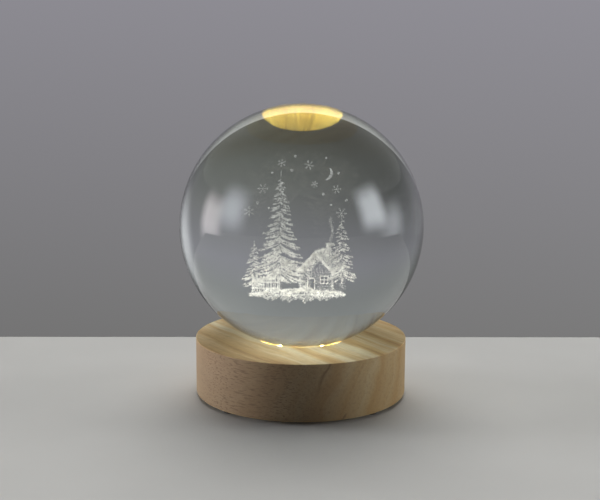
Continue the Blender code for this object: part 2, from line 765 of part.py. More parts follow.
clear_scene()
lamp_parts = new_collection("crystal_ball_lamp")
cutters = new_collection("cutters")

glass = new_material("glass", (0.93, 0.96, 0.97), 0.02, transmission=1.0)
wood = new_material("wood", (0.68, 0.53, 0.37), 0.6)
board_white = new_material("board_white", (0.85, 0.85, 0.82), 0.45)
board_green = new_material("board_green", (0.05, 0.22, 0.12), 0.4)
led_white = new_material("led_white", (0.95, 0.85, 0.55), 0.4)
resistor_black = new_material("resistor_black", (0.05, 0.05, 0.05), 0.5)
steel = new_material("steel", (0.62, 0.62, 0.63), 0.3, metallic=1.0)
cover_black = new_material("cover_black", (0.03, 0.03, 0.03), 0.6)
rubber = new_material("rubber", (0.04, 0.04, 0.04), 0.85)
tongue_black = new_material("tongue_black", (0.02, 0.02, 0.02), 0.5)
switch_black = new_material("switch_black", (0.06, 0.06, 0.07), 0.45)
plunger_white = new_material("plunger_white", (0.85, 0.85, 0.83), 0.5)
button_black = new_material("button_black", (0.05, 0.05, 0.05), 0.35)
wire_red = new_material("wire_red", (0.6, 0.04, 0.03), 0.5)
wire_black = new_material("wire_black", (0.03, 0.03, 0.03), 0.5)

make_ball()
make_base()
make_led_board()
make_leds()
make_resistors()
make_board_screws()
make_cover()
make_cover_screws()
make_feet()
make_rear_board()
make_socket()
make_switch()
make_switch_spring()
make_button()
make_wires()
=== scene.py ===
# Crystal ball lamp: a solid glass ball, engraved inside, on a wooden base that lights it from below.
# Metres, +Z up. The plain side of the base faces -Y. The socket and the button are at the back, at +Y.

import math

import bmesh
import bpy
import numpy as np
from mathutils import Matrix, Vector


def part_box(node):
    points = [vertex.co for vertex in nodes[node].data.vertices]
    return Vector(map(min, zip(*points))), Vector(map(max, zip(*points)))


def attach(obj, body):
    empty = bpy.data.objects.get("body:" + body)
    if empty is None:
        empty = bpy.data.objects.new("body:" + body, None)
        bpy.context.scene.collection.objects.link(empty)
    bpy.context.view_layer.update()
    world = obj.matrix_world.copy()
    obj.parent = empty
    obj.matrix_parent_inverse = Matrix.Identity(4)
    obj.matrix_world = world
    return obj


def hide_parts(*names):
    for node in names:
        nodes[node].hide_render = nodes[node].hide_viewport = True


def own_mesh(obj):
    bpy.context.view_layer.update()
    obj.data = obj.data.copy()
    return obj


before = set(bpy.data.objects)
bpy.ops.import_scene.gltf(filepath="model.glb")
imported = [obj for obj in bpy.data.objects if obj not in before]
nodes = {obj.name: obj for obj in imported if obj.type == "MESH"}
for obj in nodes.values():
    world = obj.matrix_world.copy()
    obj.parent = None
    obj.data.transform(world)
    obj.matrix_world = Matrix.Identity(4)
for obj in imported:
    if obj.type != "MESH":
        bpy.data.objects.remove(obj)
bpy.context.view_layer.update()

MM = 0.001
GAP = 0.3 * MM
OVERRUN = 1.0 * MM
MERGE_DISTANCE = 0.002 * MM
SHARP_ANGLE = math.radians(32)
QUARTER = math.radians(90)
ORIGIN = (0, 0, 0)
FACING_BACK = (-QUARTER, 0, 0)

# Places taken from the solids
BALL_LOW, BALL_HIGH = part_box("crystal_ball")
BASE_LOW, BASE_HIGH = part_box("wood_base")
COVER_LOW, COVER_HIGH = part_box("bottom_cover")
LED_LOW, LED_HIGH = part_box("led_1")
RESISTOR_LOW, RESISTOR_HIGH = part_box("resistor_2")
SOCKET_LOW, SOCKET_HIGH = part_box("usb_socket_shell")
BUTTON_LOW, BUTTON_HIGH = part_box("power_button")
PLUNGER_LOW, PLUNGER_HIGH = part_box("switch_plunger")
SPRING_LOW, SPRING_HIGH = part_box("switch_spring")
REAR_BOARD_LOW, REAR_BOARD_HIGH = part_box("rear_board")
FOOT_LOW, FOOT_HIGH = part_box("rubber_foot_1")
COVER_SCREW_LOW, COVER_SCREW_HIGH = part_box("cover_screw_2")
BOARD_SCREW_LOW, BOARD_SCREW_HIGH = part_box("led_board_screw_2")
BOARD_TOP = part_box("led_board")[1].z
TONGUE_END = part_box("usb_socket_tongue")[1].y

BALL_RADIUS = (BALL_HIGH.z - BALL_LOW.z) / 2
BALL_CENTRE = (BALL_HIGH.z + BALL_LOW.z) / 2
BALL_SEGMENTS = 256
BALL_RINGS = 128

# The base, as in the solids but turned finer
BASE_RADIUS = BASE_HIGH.x
BASE_STEPS = 288
TOP_EDGE_ROUND = 0.25 * MM
BOTTOM_EDGE_ROUND = 0.5 * MM
EDGE_SEGMENTS = 8
SMALL_EDGE_SEGMENTS = 5
RIM_WIDTH = 7.5 * MM
LEDGE_WIDTH = 4.5 * MM
REAR_WALL = 5.2 * MM
SEAT_HOLE_RADIUS = 15.5 * MM
SEAT_CHAMFER = 0.06 * MM
REBATE_RADIUS = BASE_RADIUS - RIM_WIDTH
CAVITY_RADIUS = REBATE_RADIUS - LEDGE_WIDTH
LEDGE_HEIGHT = COVER_HIGH.z + GAP
CAVITY_CEILING = BOARD_TOP + GAP
POCKET_REAR = BASE_RADIUS - REAR_WALL
POCKET_HALF = 12.5 * MM
PLUG_SLOT_WIDTH = 13.0 * MM
PLUG_SLOT_HEIGHT = 7.0 * MM
SLOT_END_STEPS = 24
FOOT_RECESS_DEPTH = 1.0 * MM
AXIS_HEIGHT = (SOCKET_LOW.z + SOCKET_HIGH.z) / 2
SOCKET_X = (SOCKET_LOW.x + SOCKET_HIGH.x) / 2
BUTTON_X = (BUTTON_LOW.x + BUTTON_HIGH.x) / 2

# Rings of equal pieces
FOOT_COUNT = 4
FOOT_START = math.radians(45)
FOOT_CIRCLE = REBATE_RADIUS + RIM_WIDTH / 2
FOOT_RADIUS = (FOOT_HIGH.x - FOOT_LOW.x) / 2
SCREW_COUNT = 3
SCREW_START = math.radians(30)
COVER_SCREW_CIRCLE = CAVITY_RADIUS + LEDGE_WIDTH / 2
BOARD_SCREW_CIRCLE = 17.7 * MM
LED_COUNT = 6
LED_CIRCLE = (LED_LOW.x + LED_HIGH.x) / 2
LED_WIDTH = LED_HIGH.y - LED_LOW.y


# Helpers for materials

# Kinds of noise, each with its detail and its roughness
PLAIN = (0.0, 0.5)
SMOOTH = (1.0, 0.5)
SOFT = (2.0, 0.5)
GRAINY = (2.0, 0.6)
CLOUDY = (3.0, 0.5)
ROUGH = (3.0, 0.6)
NOISE_MIDDLE = 0.5


class Field:
    """What a shader node gives at each point. Fields are added and multiplied like numbers."""

    def __init__(self, output):
        self.output = output
        self.tree = output.id_data

    def maths(self, operation, other=0.0):
        return node(self.tree, "Math", {0: self, 1: other}, operation=operation)

    def __add__(self, other):
        return self.maths("ADD", other)

    def __sub__(self, other):
        return self.maths("SUBTRACT", other)

    def __mul__(self, other):
        return self.maths("MULTIPLY", other)

    def __abs__(self):
        return self.maths("ABSOLUTE")

    def between(self, low, high, out_low=0.0, out_high=1.0, **settings):
        """Map the value from one range to another, and keep it inside."""
        inputs = {"Value": self, "From Min": low, "From Max": high, "To Min": out_low, "To Max": out_high}
        return node(self.tree, "MapRange", inputs, **settings)

    def ramp(self, stops):
        """A colour for each value, from (value, (red, green, blue)) stops."""
        color = node(self.tree, "ValToRGB", {"Fac": self})
        elements = color.output.node.color_ramp.elements
        while len(elements) < len(stops):
            elements.new(1.0)
        for element, (place, tone) in zip(elements, stops):
            element.position = place
            element.color = (*tone, 1)
        return color

    def turned(self, angle):
        return node(self.tree, "Mapping", {"Vector": self, "Rotation": (0, 0, angle)})

    def stretched(self, scale):
        return node(self.tree, "Mapping", {"Vector": self, "Scale": scale})

    def parts(self):
        """The X, the Y and the Z of a place or a direction."""
        x = node(self.tree, "SeparateXYZ", {"Vector": self})
        return [Field(output) for output in x.output.node.outputs]

    def length(self):
        return node(self.tree, "VectorMath", {0: self}, "Value", operation="LENGTH")

    def towards(self, way):
        """How far a direction points the given way, up to 1."""
        return node(self.tree, "VectorMath", {0: self, 1: way}, "Value", operation="DOT_PRODUCT")

    def noise(self, size, kind=SOFT):
        """Cloudy noise from 0 to 1 at this place, whose spots are about as large as the size."""
        detail, roughness = kind
        inputs = {"Vector": self, "Scale": 1 / size, "Detail": detail, "Roughness": roughness}
        return node(self.tree, "TexNoise", inputs)

    def waves(self, size, reach, kind=SOFT):
        """Noise that swings to both sides of 0."""
        return (self.noise(size, kind) - NOISE_MIDDLE) * reach


def set_inputs(made, inputs):
    """Give each input of a shader node a number, a colour or a field."""
    for name, value in inputs.items():
        socket = made.inputs[name]
        if isinstance(value, Field):
            made.id_data.links.new(value.output, socket)
        elif socket.type == "RGBA":
            socket.default_value = (*value, 1)
        else:
            socket.default_value = value


def node(tree, kind, inputs=None, output=0, **settings):
    """Add a shader node with its settings and inputs, and return one of its outputs."""
    made = tree.nodes.new("ShaderNode" + kind)
    for name, value in settings.items():
        setattr(made, name, value)
    set_inputs(made, inputs or {})
    return Field(made.outputs[output])


# Places of the colours among a mix node's inputs and outputs
MIX_FIRST = 6
MIX_SECOND = 7
MIX_RESULT = 2


def mixed(tree, share, first, second, kind="MIX"):
    """The first colour with a share of the second mixed in."""
    inputs = {0: share, MIX_FIRST: first, MIX_SECOND: second}
    return node(tree, "Mix", inputs, MIX_RESULT, data_type="RGBA", blend_type=kind)


def new_material(name):
    """A material, its nodes, and the place on the piece for its textures."""
    material = bpy.data.materials.new(name)
    material.use_nodes = True
    tree = material.node_tree
    return material, tree, node(tree, "TexCoord", output="Object")


def finished(material, color, roughness, relief=None, more=None):
    """Give the surface its look. A relief is its height, its depth and how strongly it shows."""
    tree = material.node_tree
    look = {"Base Color": color, "Roughness": roughness, **(more or {})}
    if relief:
        height, depth, strength = relief
        look["Normal"] = node(tree, "Bump", {"Height": height, "Distance": depth, "Strength": strength})
    set_inputs(tree.nodes["Principled BSDF"], look)
    return material


# The wood: how its grain and its pores lie
GRAIN_TURN = math.radians(54)
GRAIN_TILT = 0.33
PORE_TURN = math.radians(28)
FLATTEN = (1, 1, 0)
OUTER_SIDE = (20 * MM, 30 * MM)

# Its rings, drawn out along the grain, and the finer mottling, pores and fibres
WAVE_STRETCH = (0.25, 0.6, 0.8)
WAVE_SIZE = 9 * MM
RING_ALONG = 0.03
RING_UP = 0.05
BROAD_RINGS = 6.5 * MM
FINE_RINGS = 1.3 * MM
BROAD_SHARE = 0.72
FINE_SHARE = 0.30
MIDDLE_TONE = 0.53
TOP_CONTRAST = 1.25
SIDE_CONTRAST = 0.55
FINE_STRETCH = (0.10, 1, 1)
MOTTLE_SIZE = 1.1 * MM
FIBRE_STRETCH = (0.05, 1, 1)
FIBRE_SIZE = 0.12 * MM

WOOD_TONES = (
    (0.32, (0.50, 0.29, 0.10)),
    (0.43, (0.62, 0.41, 0.16)),
    (0.51, (0.69, 0.50, 0.23)),
    (0.59, (0.75, 0.60, 0.33)),
    (0.68, (0.82, 0.72, 0.47)),
)
MOTTLE_TONES = ((0.36, (0.90, 0.88, 0.87)), (0.52, (1, 1, 1)), (0.68, (1, 0.985, 0.97)))
FIBRE_TONES = ((0.3, (0.86, 0.85, 0.84)), (0.7, (1, 1, 1)))
# Painted shade that darkens the outer upright wall; then the real dullness of end grain
SIDE_PAINTED_SHADE = (0.46, 0.445, 0.435)
END_GRAIN_SHADE = (0.90, 0.86, 0.80)
MORE_ON_SIDE = (0.0, 1.0, 0.25, 1.0)

# A pink cast at one side, strongest on the upright wall
PINK_TONE = (0.64, 0.47, 0.37)
PINK_REACH = (-36 * MM, 0 * MM, 0.55, 0.0)

# A dark streak down the side
STREAK_TONE = (0.13, 0.07, 0.035)
STREAK_PLACE = -19.9 * MM
STREAK_WIDTH = 0.75 * MM
STREAK_STRENGTH = 0.80
STREAK_HEIGHTS = (8 * MM, 17 * MM)
STREAK_WAVE = 7 * MM
STREAK_SWING = 5 * MM
STREAK_ON_SIDE = (0.0, 1.0, 0.12, 1.0)

# A dark mark near its foot
MARK_TONE = (0.12, 0.07, 0.04)
MARK_PLACE = (13.6 * MM, -32.3 * MM, 2.0 * MM)
MARK_SIZE = (0.42 * MM, 3.0 * MM, 1.35 * MM)
MARK_LEAN = math.radians(35)
MARK_RAGGED = 0.5 * MM
MARK_FADE = (0.9, 1.7, 0.62, 0.0)

# Pores in patches, which show where they are cut along their length
PORE_TONE = (0.15, 0.095, 0.06)
PORE_SIZE = 0.36 * MM
PORE_EDGE = (0.59, 0.70)
PORE_STRENGTH = 0.62
PATCH_SIZE = 4 * MM
PATCH_EDGE = (0.30, 0.55, 0.6, 1.0)
PORES_ACROSS = (0.35, 0.7, 1.0, 0.12)

# Gloss and relief of the wood, and the painted glow of the hole's wall, which emits light in place of the
# LEDs' light on it. A relief is its depth and strength.
WOOD_ROUGHNESS = (0.3, 0.7, 0.52, 0.66)
PORE_ROUGHNESS = 0.2
WOOD_GLOSS = 0.4
FIBRE_RELIEF = 0.35
WOOD_RELIEF = (0.05 * MM, 0.6)
WALL_PAINTED_GLOW = 2.8
WALL_PAINTED_GLOW_DEPTH = 0.08 * MM
WALL_PAINTED_GLOW_STREAKS = (0.35, 0.65, 0.6, 1.4)
WALL_PAINTED_GLOW_TONE = (1.0, 0.74, 0.06)


def wood_material():
    """Pale sanded hardwood: straw streaks along the grain, fine pores and duller end grain, with painted
    shade on the outer upright wall and a painted glow on the wall of the seat hole.
    """
    material, tree, place = new_material("pale_wood")
    normal = node(tree, "TexCoord", output="Normal")
    wood = place.turned(GRAIN_TURN)
    along, across, height = wood.parts()
    sloping = across + height * -GRAIN_TILT
    ring = sloping + wood.stretched(WAVE_STRETCH).waves(WAVE_SIZE, WAVE_SIZE)
    rings = node(tree, "CombineXYZ", {"X": along * RING_ALONG, "Y": ring, "Z": height * RING_UP})
    fine = rings.noise(FINE_RINGS, ROUGH)

    reach = place.stretched(FLATTEN).length()
    outer = reach.between(*OUTER_SIDE)
    end_grain, _, upright = (abs(part) for part in normal.turned(GRAIN_TURN).parts())
    side = upright.between(0, 1, 1, 0) * outer

    tone = rings.noise(BROAD_RINGS, SMOOTH) * BROAD_SHARE + fine * FINE_SHARE
    tone = (tone - MIDDLE_TONE) * side.between(0, 1, TOP_CONTRAST, SIDE_CONTRAST) + MIDDLE_TONE
    color = tone.ramp(WOOD_TONES)
    pink = across.between(*PINK_REACH) * side.between(*MORE_ON_SIDE)
    color = mixed(tree, pink, color, PINK_TONE)
    # Painted shade: the outer upright wall is darkened to under half its colour, as if in shade
    color = mixed(tree, side, color, SIDE_PAINTED_SHADE, "MULTIPLY")
    color = mixed(tree, end_grain * outer, color, END_GRAIN_SHADE, "MULTIPLY")
    mottle = wood.stretched(FINE_STRETCH).noise(MOTTLE_SIZE, ROUGH)
    color = mixed(tree, 1.0, color, mottle.ramp(MOTTLE_TONES), "MULTIPLY")

    off_streak = abs(sloping + wood.waves(STREAK_WAVE, STREAK_SWING, SMOOTH) - STREAK_PLACE)
    streak = off_streak.between(0, STREAK_WIDTH, STREAK_STRENGTH, 0) * height.between(*STREAK_HEIGHTS)
    color = mixed(tree, streak * side.between(*STREAK_ON_SIDE), color, STREAK_TONE)
    color = mixed(tree, mark_share(tree, place, wood), color, MARK_TONE)

    patches = rings.noise(PATCH_SIZE, SMOOTH).between(*PATCH_EDGE) * side.between(*MORE_ON_SIDE)
    pore_ends = abs(normal.turned(PORE_TURN).parts()[0])
    pores = place.turned(PORE_TURN).stretched(FINE_STRETCH).noise(PORE_SIZE, PLAIN)
    pores = pores.between(*PORE_EDGE) * patches * pore_ends.between(*PORES_ACROSS)
    color = mixed(tree, pores * PORE_STRENGTH, color, PORE_TONE)
    fibres = wood.stretched(FIBRE_STRETCH).noise(FIBRE_SIZE)
    color = mixed(tree, 1.0, color, fibres.ramp(FIBRE_TONES), "MULTIPLY")

    # Painted glow: the wall of the seat hole emits light of its own, in place of the light of the LEDs on
    # it
    glow = reach.between(SEAT_HOLE_RADIUS + WALL_PAINTED_GLOW_DEPTH, SEAT_HOLE_RADIUS, 0, WALL_PAINTED_GLOW)
    more = {
        "Specular IOR Level": WOOD_GLOSS,
        "Emission Color": WALL_PAINTED_GLOW_TONE,
        "Emission Strength": glow * fine.between(*WALL_PAINTED_GLOW_STREAKS),
    }
    roughness = fine.between(*WOOD_ROUGHNESS) + pores * PORE_ROUGHNESS
    return finished(material, color, roughness, (fibres * FIBRE_RELIEF - pores, *WOOD_RELIEF), more)


def mark_share(tree, place, wood):
    """How strongly the dark mark shows: an oval that leans, with a ragged edge."""
    inputs = {"Vector": place, "Location": MARK_PLACE, "Rotation": (0, MARK_LEAN, 0), "Scale": MARK_SIZE}
    oval = node(tree, "Mapping", inputs, vector_type="TEXTURE")
    return (oval.length() + wood.noise(MARK_RAGGED)).between(*MARK_FADE)


GLASS_INDEX = 1.522
# Tint of the glass, and painted shade that darkens it where it is seen edge on
GLASS_TINT_AND_EDGE_SHADE = ((0.66, (0.88, 0.925, 0.91)), (0.84, (0.10, 0.105, 0.105)))
HAZE_SIZE = 11 * MM
HAZE = (0.45, 0.75, 0.0, 0.012)


def glass_material():
    """Clear crystal glass with the faintest polishing haze, and painted shade that darkens it where it is
    seen edge on.
    """
    material, tree, place = new_material("crystal_glass")
    tint_and_edge_shade = node(tree, "LayerWeight", {"Blend": 0.5}, "Facing").ramp(GLASS_TINT_AND_EDGE_SHADE)
    haze = place.noise(HAZE_SIZE, ROUGH).between(*HAZE)
    return finished(material, tint_and_edge_shade, haze, more={"Transmission Weight": 1.0, "IOR": GLASS_INDEX})


CLOUDS_TO_GRAIN = 14
CLOUD_STOPS = (0.3, 0.5, 0.75)
PALER = 0.06
GRAIN_RANGE = (0.3, 0.7)
GRAIN_GLOSS = 0.07
GRAIN_BUMP = 0.7


def moulded(name, color, roughness, grain=0.25, depth=0.02, wear=0.12):
    """Plastic, rubber or lacquer: fine grain, uneven gloss and slightly uneven colour."""
    material, _, place = new_material(name)
    darker = tuple(part * (1 - wear) for part in color)
    paler = tuple(part + (1 - part) * wear * PALER for part in color)
    clouds = place.noise(CLOUDS_TO_GRAIN * grain * MM, CLOUDY)
    grains = place.noise(grain * MM, GRAINY)
    shades = clouds.ramp(tuple(zip(CLOUD_STOPS, (darker, color, paler))))
    gloss = grains.between(*GRAIN_RANGE, roughness - GRAIN_GLOSS, roughness + GRAIN_GLOSS)
    return finished(material, shades, gloss, (grains, depth * MM, GRAIN_BUMP))


SPOT_SIZE = 1.4 * MM
SPOT_RANGE = (0.35, 0.7)
SPOT_SHADE = 0.72
LINE_GLOSS = (-0.08, 0.12)
LINE_RELIEF = (0.006 * MM, 0.5)


def drawn_metal(name, color, roughness, brush=(1, 1, 0.04), size=0.12):
    """Drawn or plated metal with fine lines from its making."""
    material, tree, place = new_material(name)
    lines = place.stretched(brush).noise(size * MM, ROUGH)
    spots = place.noise(SPOT_SIZE).between(*SPOT_RANGE)
    shades = mixed(tree, spots, color, tuple(part * SPOT_SHADE for part in color))
    gloss = lines.between(*GRAIN_RANGE, *(roughness + change for change in LINE_GLOSS))
    return finished(material, shades, gloss, (lines, *LINE_RELIEF), {"Metallic": 1.0})


WEAVE_SIZE = 0.9 * MM
WEAVE_GAP = 0.05
WEAVE_RELIEF = (0.01 * MM, 0.4)
COPPER_SIZE = 3 * MM
COPPER_RANGE = (0.4, 0.65)
LACQUER_ROUGHNESS = (0.3, 0.7, 0.28, 0.42)


def circuit_board(name, lacquer, track):
    """Lacquer over woven glass cloth, a little paler where it lies on copper."""
    material, tree, place = new_material(name)
    weave = {"Vector": place, "Scale": 1 / WEAVE_SIZE, "Mortar Size": WEAVE_GAP, "Mortar Smooth": 1.0}
    clouds = place.noise(COPPER_SIZE, CLOUDY)
    color = mixed(tree, clouds.between(*COPPER_RANGE), lacquer, track)
    relief = (node(tree, "TexBrick", weave, "Fac"), *WEAVE_RELIEF)
    return finished(material, color, clouds.between(*LACQUER_ROUGHNESS), relief)


PHOSPHOR_TONE = (0.9, 0.6, 0.12)
PHOSPHOR_GLOW_TONES = ((0.35, (1.0, 0.79, 0.30)), (0.65, (1.0, 0.84, 0.38)))
PHOSPHOR_GRAIN = 0.25 * MM
PHOSPHOR_RELIEF = (0.02 * MM, 0.5)
PHOSPHOR_ROUGHNESS = 0.35
LED_GLOW = 750.0


def phosphor_material():
    """The yellow fill of a lit LED."""
    material, _, place = new_material("led_phosphor")
    grains = place.noise(PHOSPHOR_GRAIN)
    glow = {"Emission Color": grains.ramp(PHOSPHOR_GLOW_TONES), "Emission Strength": LED_GLOW}
    return finished(material, PHOSPHOR_TONE, PHOSPHOR_ROUGHNESS, (grains, *PHOSPHOR_RELIEF), glow)


# Painted glow of the points, in place of the LEDs' light that they scatter; their own colour is near black
ENGRAVING_PAINTED_GLOW = 1.4
ENGRAVING_LOW = -16.2 * MM
ENGRAVING_HIGH = 16.6 * MM
ENGRAVING_TONE = (0.02, 0.02, 0.02)
ENGRAVING_ROUGHNESS = 0.8
ENGRAVING_PAINTED_GLOW_TONES = (
    (0.0, (1.0, 0.97, 0.88)),
    (0.2, (0.66, 0.64, 0.58)),
    (0.45, (0.41, 0.41, 0.38)),
    (0.7, (0.34, 0.345, 0.33)),
    (1.0, (0.34, 0.345, 0.335)),
)
SPARKLE_SIZE = 1.1 * MM
SPARKLE_TONES = ((0.3, (0.45, 0.45, 0.45)), (0.65, (1, 1, 1)))
FROM_FRONT = (1, 0, 1)


def engraving_material():
    """White points in the glass with a painted glow: they emit light of their own, bright near the LEDs
    below them and faint at the top.
    """
    material, tree, place = new_material("engraved_points")
    share = place.parts()[2].between(ENGRAVING_LOW, ENGRAVING_HIGH)
    sparkle = place.stretched(FROM_FRONT).noise(SPARKLE_SIZE, ROUGH).ramp(SPARKLE_TONES)
    color = mixed(tree, 1.0, share.ramp(ENGRAVING_PAINTED_GLOW_TONES), sparkle, "MULTIPLY")
    glow = {"Emission Color": color, "Emission Strength": ENGRAVING_PAINTED_GLOW}
    return finished(material, ENGRAVING_TONE, ENGRAVING_ROUGHNESS, more=glow)


WOOD = wood_material()
GLASS = glass_material()
ENGRAVED = engraving_material()
PHOSPHOR = phosphor_material()
BOARD_WHITE = circuit_board("white_board_lacquer", (0.80, 0.80, 0.76), (0.88, 0.87, 0.82))
BOARD_GREEN = circuit_board("green_board_lacquer", (0.015, 0.10, 0.04), (0.04, 0.22, 0.09))

# Metals: colour, roughness, and for some the way and the size of their lines in millimetres
STEEL = drawn_metal("drawn_steel", (0.60, 0.60, 0.61), 0.28)
TIN = drawn_metal("solder", (0.72, 0.72, 0.71), 0.24, (1, 1, 1), 0.4)
GOLD = drawn_metal("gold_plating", (0.85, 0.60, 0.25), 0.22, (1, 0.04, 1))

# Plastics and rubber: colour, roughness, size and depth of the grain in millimetres, and wear
LED_CASE = moulded("led_case_plastic", (0.86, 0.84, 0.78), 0.45, 0.12, 0.01, 0.06)
BLACK_PLASTIC = moulded("black_plastic", (0.028, 0.028, 0.030), 0.42, 0.16)
WHITE_PLASTIC = moulded("white_plastic", (0.80, 0.80, 0.77), 0.42, 0.16, 0.01)
COVER_PLASTIC = moulded("cover_plastic", (0.022, 0.022, 0.023), 0.62, 0.45, 0.07)
RUBBER = moulded("foot_rubber", (0.03, 0.03, 0.031), 0.82, 0.2, 0.03, 0.25)
CERAMIC = moulded("resistor_coating", (0.02, 0.02, 0.022), 0.5, 0.1, 0.01)
RED_WIRE = moulded("red_insulation", (0.52, 0.02, 0.015), 0.40, 0.3, 0.01)
BLACK_WIRE = moulded("black_insulation", (0.02, 0.02, 0.022), 0.42, 0.3, 0.01)


# Helpers for shapes

BOX_EDGE_SEGMENTS = 3
ROUND_STEPS = 48
TRACK_STEPS = 24
TUBE_SIDES = 10


def new_object(name, data, place=ORIGIN, rotation=ORIGIN):
    made = bpy.data.objects.new(name, data)
    made.location = place
    made.rotation_euler = rotation
    bpy.context.scene.collection.objects.link(made)
    return made


def add_piece(name, mesh, material, slot, place=ORIGIN, rotation=ORIGIN, body="base", replaces=None):
    """Put one piece of the visual model in place, riding on its body."""
    piece = new_object(name, mesh, place, rotation)
    mesh.name = name
    mesh.materials.clear()
    mesh.materials.append(material)
    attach(piece, body)
    if replaces:
        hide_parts(replaces)
    return piece


def smooth(mesh):
    mesh.shade_smooth()
    mesh.set_sharp_from_angle(angle=SHARP_ANGLE)
    return mesh


def mesh_from(bm):
    """The finished mesh, with its faces outward, smooth but for its sharp edges."""
    bmesh.ops.recalc_face_normals(bm, faces=bm.faces)
    mesh = bpy.data.meshes.new("mesh")
    bm.to_mesh(mesh)
    bm.free()
    return smooth(mesh)


def turned_mesh(profile, steps=ROUND_STEPS, closed=False):
    """Turn (radius, height) points round Z. They run down the outer side, from top to bottom."""
    bm = bmesh.new()
    points = [bm.verts.new((radius, 0, height)) for radius, height in profile]
    edges = [bm.edges.new(pair) for pair in zip(points, points[1:])]
    if closed:
        edges.append(bm.edges.new((points[-1], points[0])))
    bmesh.ops.spin(
        bm, geom=points + edges, cent=ORIGIN, axis=(0, 0, 1), angle=math.tau, steps=steps, use_merge=True
    )
    bmesh.ops.remove_doubles(bm, verts=bm.verts, dist=MERGE_DISTANCE)
    return mesh_from(bm)


def round_edge(radius, height, size, top=False, segments=EDGE_SEGMENTS):
    """The round outer edge of a turned profile, at its top or at its bottom."""
    start, centre = (QUARTER, height - size) if top else (0, height + size)
    angles = [start - QUARTER * i / segments for i in range(segments + 1)]
    return [(radius - size + size * math.cos(angle), centre + size * math.sin(angle)) for angle in angles]


def box_mesh(low, high, edge=0):
    """A block between two corners, with its edges rounded if a radius is given."""
    bm = bmesh.new()
    bmesh.ops.create_cube(bm, size=1)
    bmesh.ops.scale(bm, vec=Vector(high) - Vector(low), verts=bm.verts)
    bmesh.ops.translate(bm, vec=(Vector(high) + Vector(low)) / 2, verts=bm.verts)
    if edge:
        bmesh.ops.bevel(
            bm, geom=bm.edges[:], offset=edge, segments=BOX_EDGE_SEGMENTS, profile=0.5, affect="EDGES"
        )
    return mesh_from(bm)


def loft_mesh(outlines, closed=False):
    """Join outlines of equally many points. The ends are covered, or the last is joined to the first."""
    bm = bmesh.new()
    rings = [[bm.verts.new(point) for point in outline] for outline in outlines]
    after = rings[1:] + rings[:1] if closed else rings[1:]
    for low, high in zip(rings, after):
        for i in range(len(low)):
            bm.faces.new((low[i - 1], low[i], high[i], high[i - 1]))
    if not closed:
        bm.faces.new(rings[0])
        bm.faces.new(rings[-1])
    return mesh_from(bm)


def prism_mesh(outline, start, end):
    """A flat outline drawn up along Z, from one height to another."""
    return loft_mesh([[(x, y, height) for x, y in outline] for height in (start, end)])


def slot_outline(width, height):
    """A flat outline with half round ends, along X."""
    end_radius = height / 2
    points = []
    for side in (1, -1):
        for i in range(SLOT_END_STEPS + 1):
            angle = side * (math.pi * i / SLOT_END_STEPS - QUARTER)
            x = side * (width / 2 - end_radius + end_radius * math.cos(angle))
            points.append((x, end_radius * math.sin(angle)))
    return points


def tube_mesh(path, radius):
    """A closed round tube along a path."""
    side = Vector((1, 0, 0))
    rings = []
    for i, centre in enumerate(path):
        ahead = (path[min(i + 1, len(path) - 1)] - path[max(i - 1, 0)]).normalized()
        side = (side - ahead * side.dot(ahead)).normalized()
        up = ahead.cross(side)
        circle = ring(radius, TUBE_SIDES)
        rings.append([centre + x * side + y * up for x, y, _ in circle])
    return loft_mesh(rings)


def cut_away(piece, cutters):
    """Cut shapes out of a piece for good. Each is a mesh, with its place and rotation if it has them."""
    made = [new_object("cutter", *cutter) for cutter in cutters]
    for cutter in made:
        cut = piece.modifiers.new("cut", "BOOLEAN")
        cut.operation = "DIFFERENCE"
        cut.solver = "EXACT"
        cut.object = cutter
    bpy.context.view_layer.update()
    graph = bpy.context.evaluated_depsgraph_get()
    mesh = bpy.data.meshes.new_from_object(piece.evaluated_get(graph), depsgraph=graph)
    piece.modifiers.clear()
    piece.data = smooth(mesh)
    for cutter in made:
        bpy.data.objects.remove(cutter, do_unlink=True)


def joined_mesh(meshes):
    """Several small meshes as one piece."""
    bm = bmesh.new()
    for mesh in meshes:
        bm.from_mesh(mesh)
        bpy.data.meshes.remove(mesh)
    return mesh_from(bm)


def moved_mesh(mesh, place, turn):
    """A mesh turned round Z and then moved."""
    mesh.transform(Matrix.Translation(place) @ Matrix.Rotation(turn, 4, "Z"))
    return mesh


def ring(circle, count, start=0):
    """The x, the y and the angle of each of a ring of equal places."""
    angles = [start + math.tau * i / count for i in range(count)]
    return [(circle * math.cos(angle), circle * math.sin(angle), angle) for angle in angles]


# The glass ball and the wooden base

BUTTON_FLANGE = 0.9 * MM
FLANGE_THICKNESS = 1.0 * MM
BUTTON_RADIUS = (BUTTON_HIGH.x - BUTTON_LOW.x) / 2 - BUTTON_FLANGE
BUTTON_STEPS = 96
COVER_SCREW_RADIUS = 1.0 * MM
BOARD_SCREW_RADIUS = 0.85 * MM
PILOT_STEPS = 32


def make_ball():
    bm = bmesh.new()
    bmesh.ops.create_uvsphere(bm, u_segments=BALL_SEGMENTS, v_segments=BALL_RINGS, radius=BALL_RADIUS)
    middle = (0, 0, BALL_CENTRE)
    add_piece("glass_ball", mesh_from(bm), GLASS, "glass", middle, ORIGIN, "ball", "crystal_ball")


